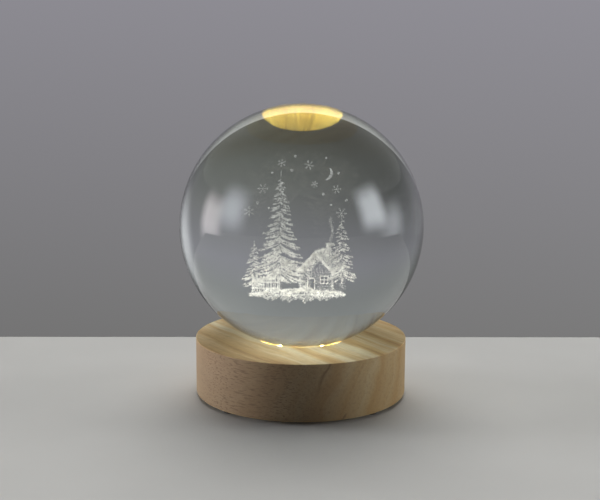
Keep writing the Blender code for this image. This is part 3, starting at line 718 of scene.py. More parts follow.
def make_base():
    top, bottom = BASE_HIGH.z, BASE_LOW.z
    profile = [
        (SEAT_HOLE_RADIUS + SEAT_CHAMFER, top),
        *round_edge(BASE_RADIUS, top, TOP_EDGE_ROUND, True),
        *round_edge(BASE_RADIUS, bottom, BOTTOM_EDGE_ROUND),
        (REBATE_RADIUS, bottom),
        (REBATE_RADIUS, LEDGE_HEIGHT),
        (CAVITY_RADIUS, LEDGE_HEIGHT),
        (CAVITY_RADIUS, CAVITY_CEILING),
        (SEAT_HOLE_RADIUS, CAVITY_CEILING),
        (SEAT_HOLE_RADIUS, top - SEAT_CHAMFER),
    ]
    mesh = turned_mesh(profile, BASE_STEPS, closed=True)
    base = add_piece("turned_base", mesh, WOOD, "wood", replaces="wood_base")
    cut_away(base, rear_cutters() + screw_and_foot_cutters())


def rear_cutters():
    """The pocket for the upright board with its grooves, the plug's slot and the button's hole."""
    low = LEDGE_HEIGHT - OVERRUN
    high = REAR_BOARD_HIGH.z + GAP
    front = REAR_BOARD_LOW.y - GAP
    groove = REAR_BOARD_HIGH.x + GAP
    reach = REAR_WALL + OVERRUN
    slot = prism_mesh(slot_outline(PLUG_SLOT_WIDTH, PLUG_SLOT_HEIGHT), -OVERRUN, reach)
    hole = round_cutter(BUTTON_RADIUS, -OVERRUN, reach, BUTTON_STEPS)
    return [
        (box_mesh((-POCKET_HALF, front, low), (POCKET_HALF, POCKET_REAR, high)),),
        (box_mesh((-groove, front, low), (groove, REAR_BOARD_HIGH.y + GAP, high)),),
        (slot, (SOCKET_X, POCKET_REAR, AXIS_HEIGHT), FACING_BACK),
        (hole, (BUTTON_X, POCKET_REAR, AXIS_HEIGHT), FACING_BACK),
    ]


def round_cutter(radius, low, high, steps=ROUND_STEPS):
    """A round hole, as wide as its piece and the gap round it."""
    radius += GAP
    return turned_mesh([(0, high), (radius, high), (radius, low), (0, low)], steps)


def screw_and_foot_cutters():
    low = BASE_LOW.z - OVERRUN
    cutters = [
        (round_cutter(FOOT_RADIUS, low, BASE_LOW.z + FOOT_RECESS_DEPTH), (x, y, 0))
        for x, y, _ in ring(FOOT_CIRCLE, FOOT_COUNT, FOOT_START)
    ]
    screws = (
        (COVER_SCREW_CIRCLE, COVER_SCREW_RADIUS, LEDGE_HEIGHT, COVER_SCREW_HIGH.z),
        (BOARD_SCREW_CIRCLE, BOARD_SCREW_RADIUS, CAVITY_CEILING, BOARD_SCREW_HIGH.z),
    )
    for circle, radius, face, tip in screws:
        for x, y, _ in ring(circle, SCREW_COUNT, SCREW_START):
            cutters.append((round_cutter(radius, face - OVERRUN, tip + GAP, PILOT_STEPS), (x, y, 0)))
    return cutters


# The lit board inside the seat hole

# Dome of an LED's fill: share of its radius, and millimetres below the LED's top
FILL_DOME = ((0, 0.02), (0.5, 0.04), (0.85, 0.08), (1, 0.12))
FILL_FLOOR = 0.38 * MM
FILL_RIM = 0.63 * MM

TRACK_WIDTH = 1.1 * MM
TRACK_HEIGHT = 0.05 * MM
TRACK_UNDER_LED = 0.9
OUTER_TRACK_GAP = 1.0 * MM
OUTER_TRACK_START = SCREW_START + math.radians(14)
OUTER_TRACK_SPAN = math.radians(92)
SOLDER_LENGTH = 1.1 * MM
SOLDER_WIDTH = 3.4 * MM
SOLDER_HEIGHT = 0.55 * MM
SOLDER_GAP = 0.02 * MM
SOLDER_STEPS = 7
SOLDER_CURVE = 2.2

RESISTOR_RING = 8.525 * MM
RESISTOR_HALF_LENGTH = 1.6 * MM
RESISTOR_HALF_WIDTH = 0.8 * MM
CAP_LENGTH = 0.5 * MM
CAP_STAND = 0.04 * MM
CAP_EDGE = 0.08 * MM


def make_phosphor():
    """The slightly domed yellow fill in each LED's well."""
    radius = LED_WIDTH / 2 - FILL_RIM
    floor = LED_HIGH.z - FILL_FLOOR
    profile = [(radius * share, LED_HIGH.z - depth * MM) for share, depth in FILL_DOME]
    profile += [(radius, floor), (0, floor)]
    for i, (x, y, _) in enumerate(ring(LED_CIRCLE, LED_COUNT), 1):
        add_piece(f"led_fill_{i}", turned_mesh(profile), PHOSPHOR, "led", (x, y, 0))


def track_mesh(circle, start, end):
    """A flat curved copper track, along a circle from one angle to another."""
    outer, inner = (
        [
            (radius * math.cos(angle), radius * math.sin(angle))
            for angle in np.linspace(start, end, TRACK_STEPS + 1)
        ]
        for radius in (circle + TRACK_WIDTH / 2, circle - TRACK_WIDTH / 2)
    )
    return prism_mesh(outer + inner[::-1], BOARD_TOP, BOARD_TOP + TRACK_HEIGHT)


def solder_fillet():
    """A sloping bead of solder between a board and the end of a part, which faces -X."""
    side_view = [(0, 0)]
    for i in range(SOLDER_STEPS):
        share = i / SOLDER_STEPS
        side_view.append((SOLDER_LENGTH * (1 - share), SOLDER_HEIGHT * share**SOLDER_CURVE))
    side_view.append((0, SOLDER_HEIGHT))
    return loft_mesh([[(x, y, z) for x, z in side_view] for y in (-SOLDER_WIDTH / 2, SOLDER_WIDTH / 2)])


def make_led_joints():
    """Solder at both sides of each LED, and the copper tracks under the lacquer between them."""
    reach = LED_WIDTH / 2 + SOLDER_GAP
    inset = math.atan2(LED_WIDTH / 2 * TRACK_UNDER_LED, LED_CIRCLE)
    fillets = []
    tracks = []
    for x, y, angle in ring(LED_CIRCLE, LED_COUNT):
        for turn in (angle + QUARTER, angle - QUARTER):
            place = (x + reach * math.cos(turn), y + reach * math.sin(turn), BOARD_TOP + TRACK_HEIGHT)
            fillets.append(moved_mesh(solder_fillet(), place, turn))
        tracks.append(track_mesh(LED_CIRCLE, angle + inset, angle + math.tau / LED_COUNT - inset))
    outer = LED_CIRCLE + LED_WIDTH / 2 + OUTER_TRACK_GAP
    for _, _, angle in ring(outer, SCREW_COUNT, OUTER_TRACK_START):
        tracks.append(track_mesh(outer, angle, angle + OUTER_TRACK_SPAN))
    add_piece("led_solder", joined_mesh(fillets), TIN, "steel")
    add_piece("led_tracks", joined_mesh(tracks), BOARD_WHITE, "board_white")


def make_resistor_caps():
    """Tinned ends that wrap round each resistor."""
    half = RESISTOR_HALF_WIDTH + CAP_STAND
    ends = (RESISTOR_HALF_LENGTH - CAP_LENGTH, RESISTOR_HALF_LENGTH + CAP_STAND)
    low, high = RESISTOR_LOW.z - CAP_STAND, RESISTOR_HIGH.z + CAP_STAND
    caps = []
    for x, y, angle in ring(RESISTOR_RING, SCREW_COUNT, SCREW_START):
        for side in (1, -1):
            near, far = sorted(side * end for end in ends)
            cap = box_mesh((-half, near, low), (half, far, high), CAP_EDGE)
            caps.append(moved_mesh(cap, (x, y, 0), angle))
    add_piece("resistor_caps", joined_mesh(caps), TIN, "steel")


# The socket, the switch and the button at the back

CONTACT_COUNT = 12
CONTACT_PITCH = 0.43 * MM
CONTACT_WIDTH = 0.24 * MM
CONTACT_LENGTH = 4.4 * MM
CONTACT_STAND = 0.03 * MM
CONTACT_EDGE = 0.01 * MM
CONTACT_INSET = 0.25 * MM
TONGUE_HALF = 0.35 * MM
SHELL_WALL = 0.3 * MM
SHELL_ROLL_STEPS = 4

# Dish of the button: share of its radius, and millimetres below the rim
BUTTON_DISH = ((0, 0.30), (0.5, 0.235), (0.8, 0.12), (1, 0.02))
BUTTON_DISH_MARGIN = 0.8 * MM
BUTTON_LIP = 0.15 * MM
BUTTON_ROUND = 0.5 * MM
SPRING_TURNS = 2.5
SPRING_STEPS = 80
SPRING_WIRE = 0.15 * MM


def make_contacts():
    """Gold contacts on both faces of the socket's tongue."""
    end = TONGUE_END - CONTACT_INSET
    strips = []
    for face in (TONGUE_HALF, -TONGUE_HALF):
        low, high = AXIS_HEIGHT + face - CONTACT_STAND, AXIS_HEIGHT + face + CONTACT_STAND
        for i in range(CONTACT_COUNT):
            x = SOCKET_X + (i - (CONTACT_COUNT - 1) / 2) * CONTACT_PITCH
            left, right = x - CONTACT_WIDTH / 2, x + CONTACT_WIDTH / 2
            strips.append(box_mesh((left, end - CONTACT_LENGTH, low), (right, end, high), CONTACT_EDGE))
    add_piece("socket_contacts", joined_mesh(strips), GOLD, "steel")


def make_shell():
    """The socket's drawn steel shell with a rolled front edge."""
    width, length, height = SOCKET_HIGH - SOCKET_LOW
    roll = SHELL_WALL / 2
    sections = []
    for i in range(SHELL_ROLL_STEPS + 1):
        angle = math.pi * i / SHELL_ROLL_STEPS
        sections.append((roll - roll * math.cos(angle), length - roll + roll * math.sin(angle)))
    sections += [(SHELL_WALL, 0), (0, 0)]
    outlines = [
        [(x, y, z) for x, y in slot_outline(width - 2 * inset, height - 2 * inset)] for inset, z in sections
    ]
    place = (SOCKET_X, SOCKET_LOW.y, AXIS_HEIGHT)
    mesh = loft_mesh(outlines, closed=True)
    add_piece("socket_shell", mesh, STEEL, "steel", place, FACING_BACK, replaces="usb_socket_shell")


def make_button():
    """The round button: a rounded rim, a shallow dish for the finger and the flange behind it."""
    flange = BUTTON_RADIUS + BUTTON_FLANGE
    end = BUTTON_HIGH.y - BUTTON_LOW.y
    dish = BUTTON_RADIUS - BUTTON_DISH_MARGIN
    profile = [(dish * share, end - depth * MM) for share, depth in BUTTON_DISH]
    profile += [
        (dish + BUTTON_LIP, end),
        *round_edge(BUTTON_RADIUS, end, BUTTON_ROUND, True),
        (BUTTON_RADIUS, FLANGE_THICKNESS),
        (flange, FLANGE_THICKNESS),
        (flange, 0),
        (0, 0),
    ]
    mesh = turned_mesh(profile, BUTTON_STEPS)
    place = (BUTTON_X, BUTTON_LOW.y, AXIS_HEIGHT)
    look = (BLACK_PLASTIC, "black_plastic")
    cap = add_piece("button_cap", mesh, *look, place, FACING_BACK, "button", "power_button")
    half = (PLUNGER_HIGH.x - PLUNGER_LOW.x) / 2 + GAP
    low = (BUTTON_X - half, BUTTON_LOW.y - OVERRUN, AXIS_HEIGHT - half)
    high = (BUTTON_X + half, PLUNGER_HIGH.y + GAP, AXIS_HEIGHT + half)
    cut_away(cap, [(box_mesh(low, high),)])


def make_spring():
    """The switch's coil spring, which shortens as the button goes in."""
    radius = (SPRING_HIGH.x - SPRING_LOW.x) / 2 - SPRING_WIRE
    length = SPRING_HIGH.y - SPRING_LOW.y
    path = []
    for i in range(SPRING_STEPS + 1):
        share = i / SPRING_STEPS
        angle = math.tau * SPRING_TURNS * share
        along = SPRING_LOW.y + SPRING_WIRE + (length - 2 * SPRING_WIRE) * share
        x, z = BUTTON_X + radius * math.cos(angle), AXIS_HEIGHT + radius * math.sin(angle)
        path.append(Vector((x, along, z)))
    mesh = tube_mesh(path, SPRING_WIRE)
    spring = add_piece("coil_spring", mesh, STEEL, "steel", replaces="switch_spring")
    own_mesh(spring)


# The underside

COVER_PANEL_DEPTH = 0.25 * MM
COVER_PANEL_RADIUS = 19.0 * MM
COVER_EDGE = 0.35 * MM
COVER_STEPS = 192
SCREW_HEAD_RADIUS = 1.9 * MM
SCREW_HEAD_HEIGHT = 1.1 * MM
SCREW_HEAD_EDGE = 0.08 * MM
PAN_HEAD_RADIUS = 1.7 * MM
PAN_HEAD_ROUND = 0.4 * MM
SCREW_POINT = 0.3
THREAD_PITCH = 0.5 * MM
THREAD_DEPTH = 0.14 * MM
THREAD_CREST = (0.4, 0.6)
DRIVE_WIDTH = 0.38 * MM
DRIVE_LENGTH = 2.1 * MM
DRIVE_DEPTH = 0.6 * MM
FOOT_EDGE = 0.4 * MM
FOOT_RINGS = (0.68, 0.36)
FOOT_GROOVE = 0.12 * MM
FOOT_STEPS = 64


def make_cover():
    """The moulded cover: rounded edges, a shallow round panel and three countersunk holes."""
    radius = COVER_HIGH.x
    low, high = COVER_LOW.z, COVER_HIGH.z
    profile = [
        (0, high),
        *round_edge(radius, high, COVER_EDGE, True, SMALL_EDGE_SEGMENTS),
        *round_edge(radius, low, COVER_EDGE, False, SMALL_EDGE_SEGMENTS),
        (COVER_PANEL_RADIUS + COVER_PANEL_DEPTH, low),
        (COVER_PANEL_RADIUS, low + COVER_PANEL_DEPTH),
        (0, low + COVER_PANEL_DEPTH),
    ]
    mesh = turned_mesh(profile, COVER_STEPS)
    cover = add_piece("cover_plate", mesh, COVER_PLASTIC, "cover", replaces="bottom_cover")
    hole = COVER_SCREW_RADIUS + GAP
    mouth = SCREW_HEAD_RADIUS + GAP
    sink = [(0, high + OVERRUN), (hole, high + OVERRUN), (hole, low + SCREW_HEAD_HEIGHT)]
    sink += [(mouth, low), (mouth, low - OVERRUN), (0, low - OVERRUN)]
    places = ring(COVER_SCREW_CIRCLE, SCREW_COUNT, SCREW_START)
    cut_away(cover, [(turned_mesh(sink), (x, y, 0)) for x, y, _ in places])


def shank_profile(radius, low, high):
    """A screw's shank, down from its point to its head, with a groove at each turn."""
    point = radius * SCREW_POINT
    height = high - radius + point
    profile = [(0, high), (point, high), (radius - THREAD_DEPTH, height)]
    while height - THREAD_PITCH > low:
        profile += [(radius, height - THREAD_PITCH * share) for share in THREAD_CREST]
        height -= THREAD_PITCH
        profile.append((radius - THREAD_DEPTH, height))
    return profile + [(radius, low)]


def drive_cutters(x, y, face, angle):
    """The two crossed slots of a screw's drive, open at its face."""
    slot = (DRIVE_LENGTH / 2, DRIVE_WIDTH / 2, DRIVE_DEPTH)
    return [
        (box_mesh((-slot[0], -slot[1], -OVERRUN), slot), (x, y, face), (0, 0, turn))
        for turn in (angle, angle + QUARTER)
    ]


def make_screws():
    """Three countersunk screws in the cover and three pan head screws in the LED board."""
    face = COVER_SCREW_LOW.z
    sunk = shank_profile(COVER_SCREW_RADIUS, face + SCREW_HEAD_HEIGHT, COVER_SCREW_HIGH.z)
    sunk += [
        (SCREW_HEAD_RADIUS, face + SCREW_HEAD_EDGE),
        (SCREW_HEAD_RADIUS - SCREW_HEAD_EDGE, face),
        (0, face),
    ]
    pan_face = BOARD_SCREW_LOW.z
    neck = pan_face + SCREW_HEAD_HEIGHT
    pan = shank_profile(BOARD_SCREW_RADIUS, neck, BOARD_SCREW_HIGH.z)
    pan += [
        (PAN_HEAD_RADIUS, neck),
        *round_edge(PAN_HEAD_RADIUS, pan_face, PAN_HEAD_ROUND, False, SMALL_EDGE_SEGMENTS),
        (0, pan_face),
    ]
    kinds = (
        ("cover_bolt", "cover_screw", sunk, COVER_SCREW_CIRCLE, face),
        ("board_bolt", "led_board_screw", pan, BOARD_SCREW_CIRCLE, pan_face),
    )
    for name, solid, profile, circle, head in kinds:
        for i, (x, y, angle) in enumerate(ring(circle, SCREW_COUNT, SCREW_START), 1):
            place = (x, y, 0)
            mesh = turned_mesh(profile)
            screw = add_piece(f"{name}_{i}", mesh, STEEL, "steel", place, replaces=f"{solid}_{i}")
            cut_away(screw, drive_cutters(x, y, head, angle))


def make_feet():
    """Moulded rubber feet with a soft edge and two fine rings underneath."""
    low, high = FOOT_LOW.z, FOOT_HIGH.z
    profile = [(0, high), (FOOT_RADIUS, high), *round_edge(FOOT_RADIUS, low, FOOT_EDGE)]
    for share in FOOT_RINGS:
        middle = FOOT_RADIUS * share
        profile += [(middle + FOOT_GROOVE, low), (middle, low + FOOT_GROOVE), (middle - FOOT_GROOVE, low)]
    profile.append((0, low))
    for i, (x, y, _) in enumerate(ring(FOOT_CIRCLE, FOOT_COUNT, FOOT_START), 1):
        mesh = turned_mesh(profile, FOOT_STEPS)
        add_piece(f"foot_pad_{i}", mesh, RUBBER, "rubber", (x, y, 0), replaces=f"rubber_foot_{i}")


def finish_carried_nodes():
    """Give the solids that stay in the visual model their materials."""
    looks = {
        "led_board": BOARD_WHITE,
        "rear_board": BOARD_GREEN,
        "usb_socket_tongue": BLACK_PLASTIC,
        "switch_body": BLACK_PLASTIC,
        "switch_plunger": WHITE_PLASTIC,
        "wire_positive": RED_WIRE,
        "wire_negative": BLACK_WIRE,
    }
    looks.update({f"led_{i + 1}": LED_CASE for i in range(LED_COUNT)})
    looks.update({f"resistor_{i + 1}": CERAMIC for i in range(SCREW_COUNT)})
    for name, material in looks.items():
        for slot in nodes[name].material_slots:
            slot.material = material


# The engraving: a small winter scene of points inside the glass. Its lengths are in millimetres.
# A LOOK is the spread and the size of the points. A LINE has its points per millimetre before them.

POINT_SIZE = 0.085 * MM
POINT_SEED = 5
POINT_SIZES = (0.75, 1.25)
POINT_SPREAD = 0.05
LINE_SPREAD = 0.04
SPECK_CORNERS = np.array([(1, 1, 1), (1, -1, -1), (-1, 1, -1), (-1, -1, 1)]) / math.sqrt(3)
SPECK_SIDES = np.array([(0, 1, 2), (0, 3, 1), (0, 2, 3), (1, 3, 2)])
SPECK_MAP = np.array([(0, 1), (-0.87, -0.5), (0.87, -0.5)])
MAP_MARGIN = 2 * MM


class Cloud:
    """Points round the middle of the ball: X right, Y back and Z up."""

    def __init__(self, seed):
        self.random = np.random.default_rng(seed)
        self.parts = []

    def add(self, points, spread=POINT_SPREAD, size=1.0):
        """Keep points, each moved a little, with the size of their specks."""
        points = np.asarray(points, float).reshape(-1, 3)
        points = points + self.random.normal(0, spread, points.shape)
        sizes = size * self.random.uniform(*POINT_SIZES, (len(points), 1))
        self.parts.append(np.hstack([points, sizes]))

    def line(self, start, end, per_mm, spread=LINE_SPREAD, size=1.0):
        start, end = np.array(start, float), np.array(end, float)
        count = max(2, int(np.linalg.norm(end - start) * per_mm))
        share = self.random.uniform(0, 1, (count, 1))
        self.add(start + (end - start) * share, spread, size)

    def panel(self, corner, across, up, per_mm2, keep, spread=POINT_SPREAD):
        """Points all over a flat panel. keep says which shares across and up stay."""
        corner, across, up = (np.array(side, float) for side in (corner, across, up))
        count = int(np.linalg.norm(np.cross(across, up)) * per_mm2)
        u, v = self.random.uniform(0, 1, (2, count))
        kept = keep(u, v, self.random.uniform(0, 1, count))
        self.add(corner + u[kept, None] * across + v[kept, None] * up, spread)

    def turned(self, angle, place):
        """The same points turned round Z and moved."""
        cosine, sine = math.cos(angle), math.sin(angle)
        turn = np.array([[cosine, sine, 0], [-sine, cosine, 0], [0, 0, 1]])
        for part in self.parts:
            part[:, :3] = part[:, :3] @ turn + np.array(place)
        return self

    def mesh(self):
        """Each point as a tiny four-sided speck, turned its own way, with a map seen from the front."""
        data = np.vstack(self.parts)
        count = len(data)
        places = data[:, :3] * MM
        sizes = data[:, 3:] * POINT_SIZE
        turns, _ = np.linalg.qr(self.random.normal(0, 1, (count, 3, 3)))
        turns[np.linalg.det(turns) < 0] *= -1
        corners = np.einsum("nij,kj->nki", turns, SPECK_CORNERS)
        points = places[:, None, :] + sizes[:, None, :] * corners
        faces = np.arange(count)[:, None, None] * len(SPECK_CORNERS) + SPECK_SIDES
        mesh = bpy.data.meshes.new("points")
        mesh.vertices.add(points[..., 0].size)
        mesh.vertices.foreach_set("co", points.astype(np.float32).ravel())
        mesh.loops.add(faces.size)
        mesh.loops.foreach_set("vertex_index", faces.astype(np.int32).ravel())
        mesh.polygons.add(faces.size // 3)
        mesh.polygons.foreach_set("loop_start", np.arange(0, faces.size, 3, dtype=np.int32))
        front = places[:, None, None, (0, 2)] + SPECK_MAP * sizes[:, None, :, None]
        front = np.broadcast_to(front, (count, len(SPECK_SIDES), 3, 2))
        low = ENGRAVING_LOW - MAP_MARGIN
        span = ENGRAVING_HIGH + MAP_MARGIN - low
        layer = mesh.uv_layers.new(name="OFBake")
        layer.data.foreach_set("uv", ((front - low) / span).astype(np.float32).ravel())
        mesh.update()
        mesh.validate()
        return mesh


# Firs: x, y, foot, height, radius, rows of branches, branches in the lowest row, and points per mm
FIRS = (
    (-4.6, 1.0, -13.2, 24.6, 5.6, 17, 12, 12),
    (8.4, 3.6, -12.6, 14.0, 2.9, 11, 9, 9),
    (-9.9, 3.2, -13.6, 9.5, 2.3, 8, 8, 10),
)
# Their rows of branches, each branch, its needles and the trunk, mostly as shares of height or length
GOLDEN_TURN = math.tau * 0.381966
FIRST_ROW = 0.4
CROWN_LOW = 0.10
CROWN_HEIGHT = 0.86
CROWN_TAPER = 0.85
CROWN_TIP = 0.25
FEWEST_BRANCHES = 4
THINNING = 0.55
ROOT_HEIGHTS = (-0.4, 0.4)
BRANCH_LENGTHS = (0.78, 1.12)
BRANCH_DROPS = (0.42, 0.56)
BRANCH_START = 0.08
DROOP_CURVE = 1.2
TIP_CURVE = 4
TIP_LIFT = 0.35
LEAST_POINTS = 6
SNOW_START = 0.55
SNOW_LIFT = 0.10
BRANCH_SNOW_LOOK = (0.09, 1.15)
NEEDLE_ROWS = (0.3, 0.95)
NEEDLES_PER_MM = 1.4
NEEDLE_TAPER = (0.22, 1.15, 0.28)
NEEDLE_SPLAY = 0.9
NEEDLE_SLANT = 1.35
NEEDLE_DROP = 0.42
NEEDLE_POINTS = 0.55
NEEDLE_LOOK = (0.03, 0.85)
TRUNK_TOP = (0.8, 1.03)
TRUNK_TOP_POINTS = 12
TRUNK_FOOT = (-0.9, 0.14)
TRUNK_FOOT_LINE = (30, 0.22)


def branch(cloud, root, turn, length, density):
    """One drooping branch, edged with short needles and heavier with snow towards its tip."""
    way = np.array([math.cos(turn), math.sin(turn), 0])
    aside = np.array([-way[1], way[0], 0])
    drop = length * cloud.random.uniform(*BRANCH_DROPS)

    def place(share):
        share = np.reshape(share, (-1, 1))
        fall = drop * share**DROOP_CURVE - TIP_LIFT * drop * share**TIP_CURVE
        return root + way * length * share - fall * np.array((0, 0, 1))

    shares = cloud.random.uniform(BRANCH_START, 1, max(LEAST_POINTS, int(length * density)))
    line = place(shares)
    cloud.add(line)
    cloud.add(line[shares > SNOW_START] + (0, 0, SNOW_LIFT), *BRANCH_SNOW_LOOK)
    for share in np.linspace(*NEEDLE_ROWS, max(2, round(length * NEEDLES_PER_MM))):
        start = place(share)[0]
        slope, reach, least = NEEDLE_TAPER
        needle = slope * length * (reach - share) + least
        for side in (-NEEDLE_SPLAY, NEEDLE_SPLAY):
            out = (way + side * aside) / NEEDLE_SLANT
            end = start + out * needle - (0, 0, NEEDLE_DROP * needle)
            cloud.line(start, end, density * NEEDLE_POINTS, *NEEDLE_LOOK)


def fir(cloud, x, y, foot, height, radius, rows, branches, density):
    """Rows of branches round a trunk, of which only the tip and the foot show."""
    turn = 0.0
    for row in range(rows):
        share = (row + FIRST_ROW) / rows
        middle = foot + height * (CROWN_LOW + CROWN_HEIGHT * share)
        reach = radius * (1 - share) ** CROWN_TAPER + CROWN_TIP
        for _ in range(max(FEWEST_BRANCHES, round(branches * (1 - THINNING * share)))):
            turn += GOLDEN_TURN
            root = (x, y, middle + height / rows * cloud.random.uniform(*ROOT_HEIGHTS))
            length = reach * cloud.random.uniform(*BRANCH_LENGTHS)
            branch(cloud, root, turn, length, density)
    cloud.line(*((x, y, foot + height * share) for share in TRUNK_TOP), TRUNK_TOP_POINTS)
    low, share = TRUNK_FOOT
    cloud.line((x, y, foot + low), (x, y, foot + height * share), *TRUNK_FOOT_LINE)


# The cottage: its place, its walls, its roof, and the frames, posts and snow that stand before it
COTTAGE_PLACE = (3.4, -3.4, -13.9)
COTTAGE_TURN = math.radians(-24)
WIDTH = 8.0
HALF = WIDTH / 2
DEPTH = 6.0
WALL = 4.4
RISE = 3.9
EAVE = 0.8
PORCH = 0.7
FRAME_FRONT = -0.12
POST_FRONT = -0.1
POST_HALF = 0.1
RIM_FRONT = -0.75
RIM_RISE = 0.6
FRAME_LINE = (34, 0.05, 1.1)
POST_LINE = (20, 0.12)
RIM_LINE = (90, 0.16, 1.1)
RIDGE_LINE = (40, 0.16)
SNOW = 0.55
SNOW_LAYERS = 4
SNOW_FILL = 0.55
SNOW_FRONT = 0.12
DRIPS = 9
DRIP_ROW = (0.06, 0.94)
DRIP_FALL = 0.35
DRIP_POINTS = 26
ROOF_POINTS = 11
ROOF_SPREAD = 0.12
WALL_POINTS = (34, 22, 6)
GABLE_POINTS = 30
LOGS = 7
LOG_GAP = 0.20
SIDE_THINNING = 1.35
BOARDS = 11
BOARD_GAP = 0.35
ATTIC_HEIGHT = 0.36
ATTIC_SIZE = 0.42

# Its openings, as shares of the wall: left, right, low and high
DOOR = (0.235, 0.445, 0.0, 0.62)
WINDOW = (0.62, 0.86, 0.38, 0.74)
SIDE_WINDOW = (0.34, 0.66, 0.38, 0.74)

# Its chimney, with the cap of snow and the smoke
STACK = np.array((1.5, 1.6, 0))
STACK_WIDTH = 1.3
STACK_LOW = WALL + RISE * 0.45
STACK_HIGH = WALL + RISE + 1.7
BRICK_ROWS = 6
BRICK_SHARE = 0.75
BRICK_POINTS = 70
MORTAR = 0.25
CAP_SIZE = (0.85, 0.85, 0.28)
CAP_PLACE = (0, 0, 0.2)
CAP_POINTS = 170
CAP_LOOK = (0.03, 1.1)
SMOKE_PLACE = (0.05, -0.05, 0.7)
SMOKE_POINTS = 330
SMOKE_LOOK = (0.20, 0.7)
SMOKE_BENDS = 5.5
SMOKE_RISE = 5.6
SMOKE_DRIFT = 0.9
SMOKE_WAVE = 0.8


def stripes(share, count, least):
    """How densely the points lie on logs or boards, with the least in the gaps between them."""
    return least + (1 - least) * np.sin(np.pi * ((share * count) % 1)) ** 2


def within(opening, u, v):
    left, right, low, high = opening
    return (u > left) & (u < right) & (v >= low) & (v < high)


def front_wall(u, v, chance):
    return (chance < stripes(v, LOGS, LOG_GAP)) & ~within(DOOR, u, v) & ~within(WINDOW, u, v)


def side_wall(u, v, chance):
    return (chance * SIDE_THINNING < stripes(v, LOGS, LOG_GAP)) & ~within(SIDE_WINDOW, u, v)


def gable(u, v, chance):
    attic = (u - 0.5) ** 2 * WIDTH**2 + (v - ATTIC_HEIGHT) ** 2 * RISE**2 < ATTIC_SIZE
    return (abs(u - 0.5) * 2 < 1 - v) & (chance < stripes(u, BOARDS, BOARD_GAP)) & ~attic


def roof_snow(u, _, chance):
    return chance < SNOW_FILL + (1 - SNOW_FILL) * (u < SNOW_FRONT)


def bricks(_, v, chance):
    return (chance < BRICK_SHARE) & (np.sin(np.pi * ((v * BRICK_ROWS) % 1)) > MORTAR)


def frame_bars(left, right, low, high):
    """The uprights, the bars and the middle cross of a frame round an opening."""
    across, up = (left + right) / 2, (low + high) / 2
    bars = [((side, low), (side, high)) for side in (left, right)]
    bars += [((left, level), (right, level)) for level in (low, high)]
    return bars + [((across, low), (across, high)), ((left, up), (right, up))]


def cottage_walls(cloud):
    corner, up = (-HALF, 0, 0), (0, 0, WALL)
    front, near, far = WALL_POINTS
    cloud.panel(corner, (WIDTH, 0, 0), up, front, front_wall)
    cloud.panel(corner, (0, DEPTH, 0), up, near, side_wall)
    cloud.panel((HALF, 0, 0), (0, DEPTH, 0), up, far, side_wall)
    cloud.panel((-HALF, 0, WALL), (WIDTH, 0, 0), (0, 0, RISE), GABLE_POINTS, gable)
    left, right, _, top, *_ = frame_bars(*DOOR)
    for bar in (left, right, top, *frame_bars(*WINDOW)):
        cloud.line(*((-HALF + WIDTH * u, FRAME_FRONT, WALL * v) for u, v in bar), *FRAME_LINE)
    for side in (-POST_HALF, POST_HALF):
        for edge in (-HALF, HALF):
            cloud.line(*((edge + side, POST_FRONT, height) for height in (0, WALL)), *POST_LINE)


def cottage_roof(cloud):
    """Thick snow on both slopes, with a heavy rim and drips along the gable, and the ridge."""
    lower = WALL - RISE * EAVE / HALF
    ridge = WALL + RISE
    for side in (-1, 1):
        foot = side * (HALF + EAVE)
        for layer in range(SNOW_LAYERS):
            corner = (foot, -PORCH, lower + SNOW * layer / (SNOW_LAYERS - 1))
            slope = ((0, DEPTH + 2 * PORCH, 0), (-foot, 0, ridge - lower))
            cloud.panel(corner, *slope, ROOF_POINTS, roof_snow, ROOF_SPREAD)
        rim = np.array([(foot, RIM_FRONT, lower), (0, RIM_FRONT, ridge + SNOW * RIM_RISE)])
        cloud.line(*rim, *RIM_LINE)
        for drip in np.linspace(*DRIP_ROW, DRIPS):
            place = rim[0] * (1 - drip) + rim[1] * drip
            fall = DRIP_FALL * (1 + cloud.random.uniform())
            cloud.line(place, place - (0, 0, fall), DRIP_POINTS)
    cloud.line(*((0, y, ridge + SNOW) for y in (-PORCH, DEPTH + PORCH)), *RIDGE_LINE)


def chimney(cloud):
    """A brick stack with a cap of snow, and its smoke."""
    corner = STACK + (0, 0, STACK_LOW)
    for across in ((STACK_WIDTH, 0, 0), (0, STACK_WIDTH, 0)):
        cloud.panel(corner, across, (0, 0, STACK_HIGH - STACK_LOW), BRICK_POINTS, bricks)
    middle = STACK + (STACK_WIDTH / 2, STACK_WIDTH / 2, STACK_HIGH)
    cap = cloud.random.uniform(-1, 1, (CAP_POINTS, 3)) * CAP_SIZE
    cloud.add(cap + middle + CAP_PLACE, *CAP_LOOK)
    rise = np.sort(cloud.random.uniform(0, 1, SMOKE_POINTS))
    drift = SMOKE_DRIFT * rise + SMOKE_WAVE * np.sin(SMOKE_BENDS * rise) * rise
    smoke = np.stack([drift, 0 * rise, SMOKE_RISE * rise], 1)
    cloud.add(smoke + middle + SMOKE_PLACE, *SMOKE_LOOK)


def cottage():
    """A log cottage with a snowy roof, a door, a window, a chimney and its smoke."""
    cloud = Cloud(POINT_SEED + 1)
    cottage_walls(cloud)
    cottage_roof(cloud)
    chimney(cloud)
    return cloud.turned(COTTAGE_TURN, COTTAGE_PLACE)


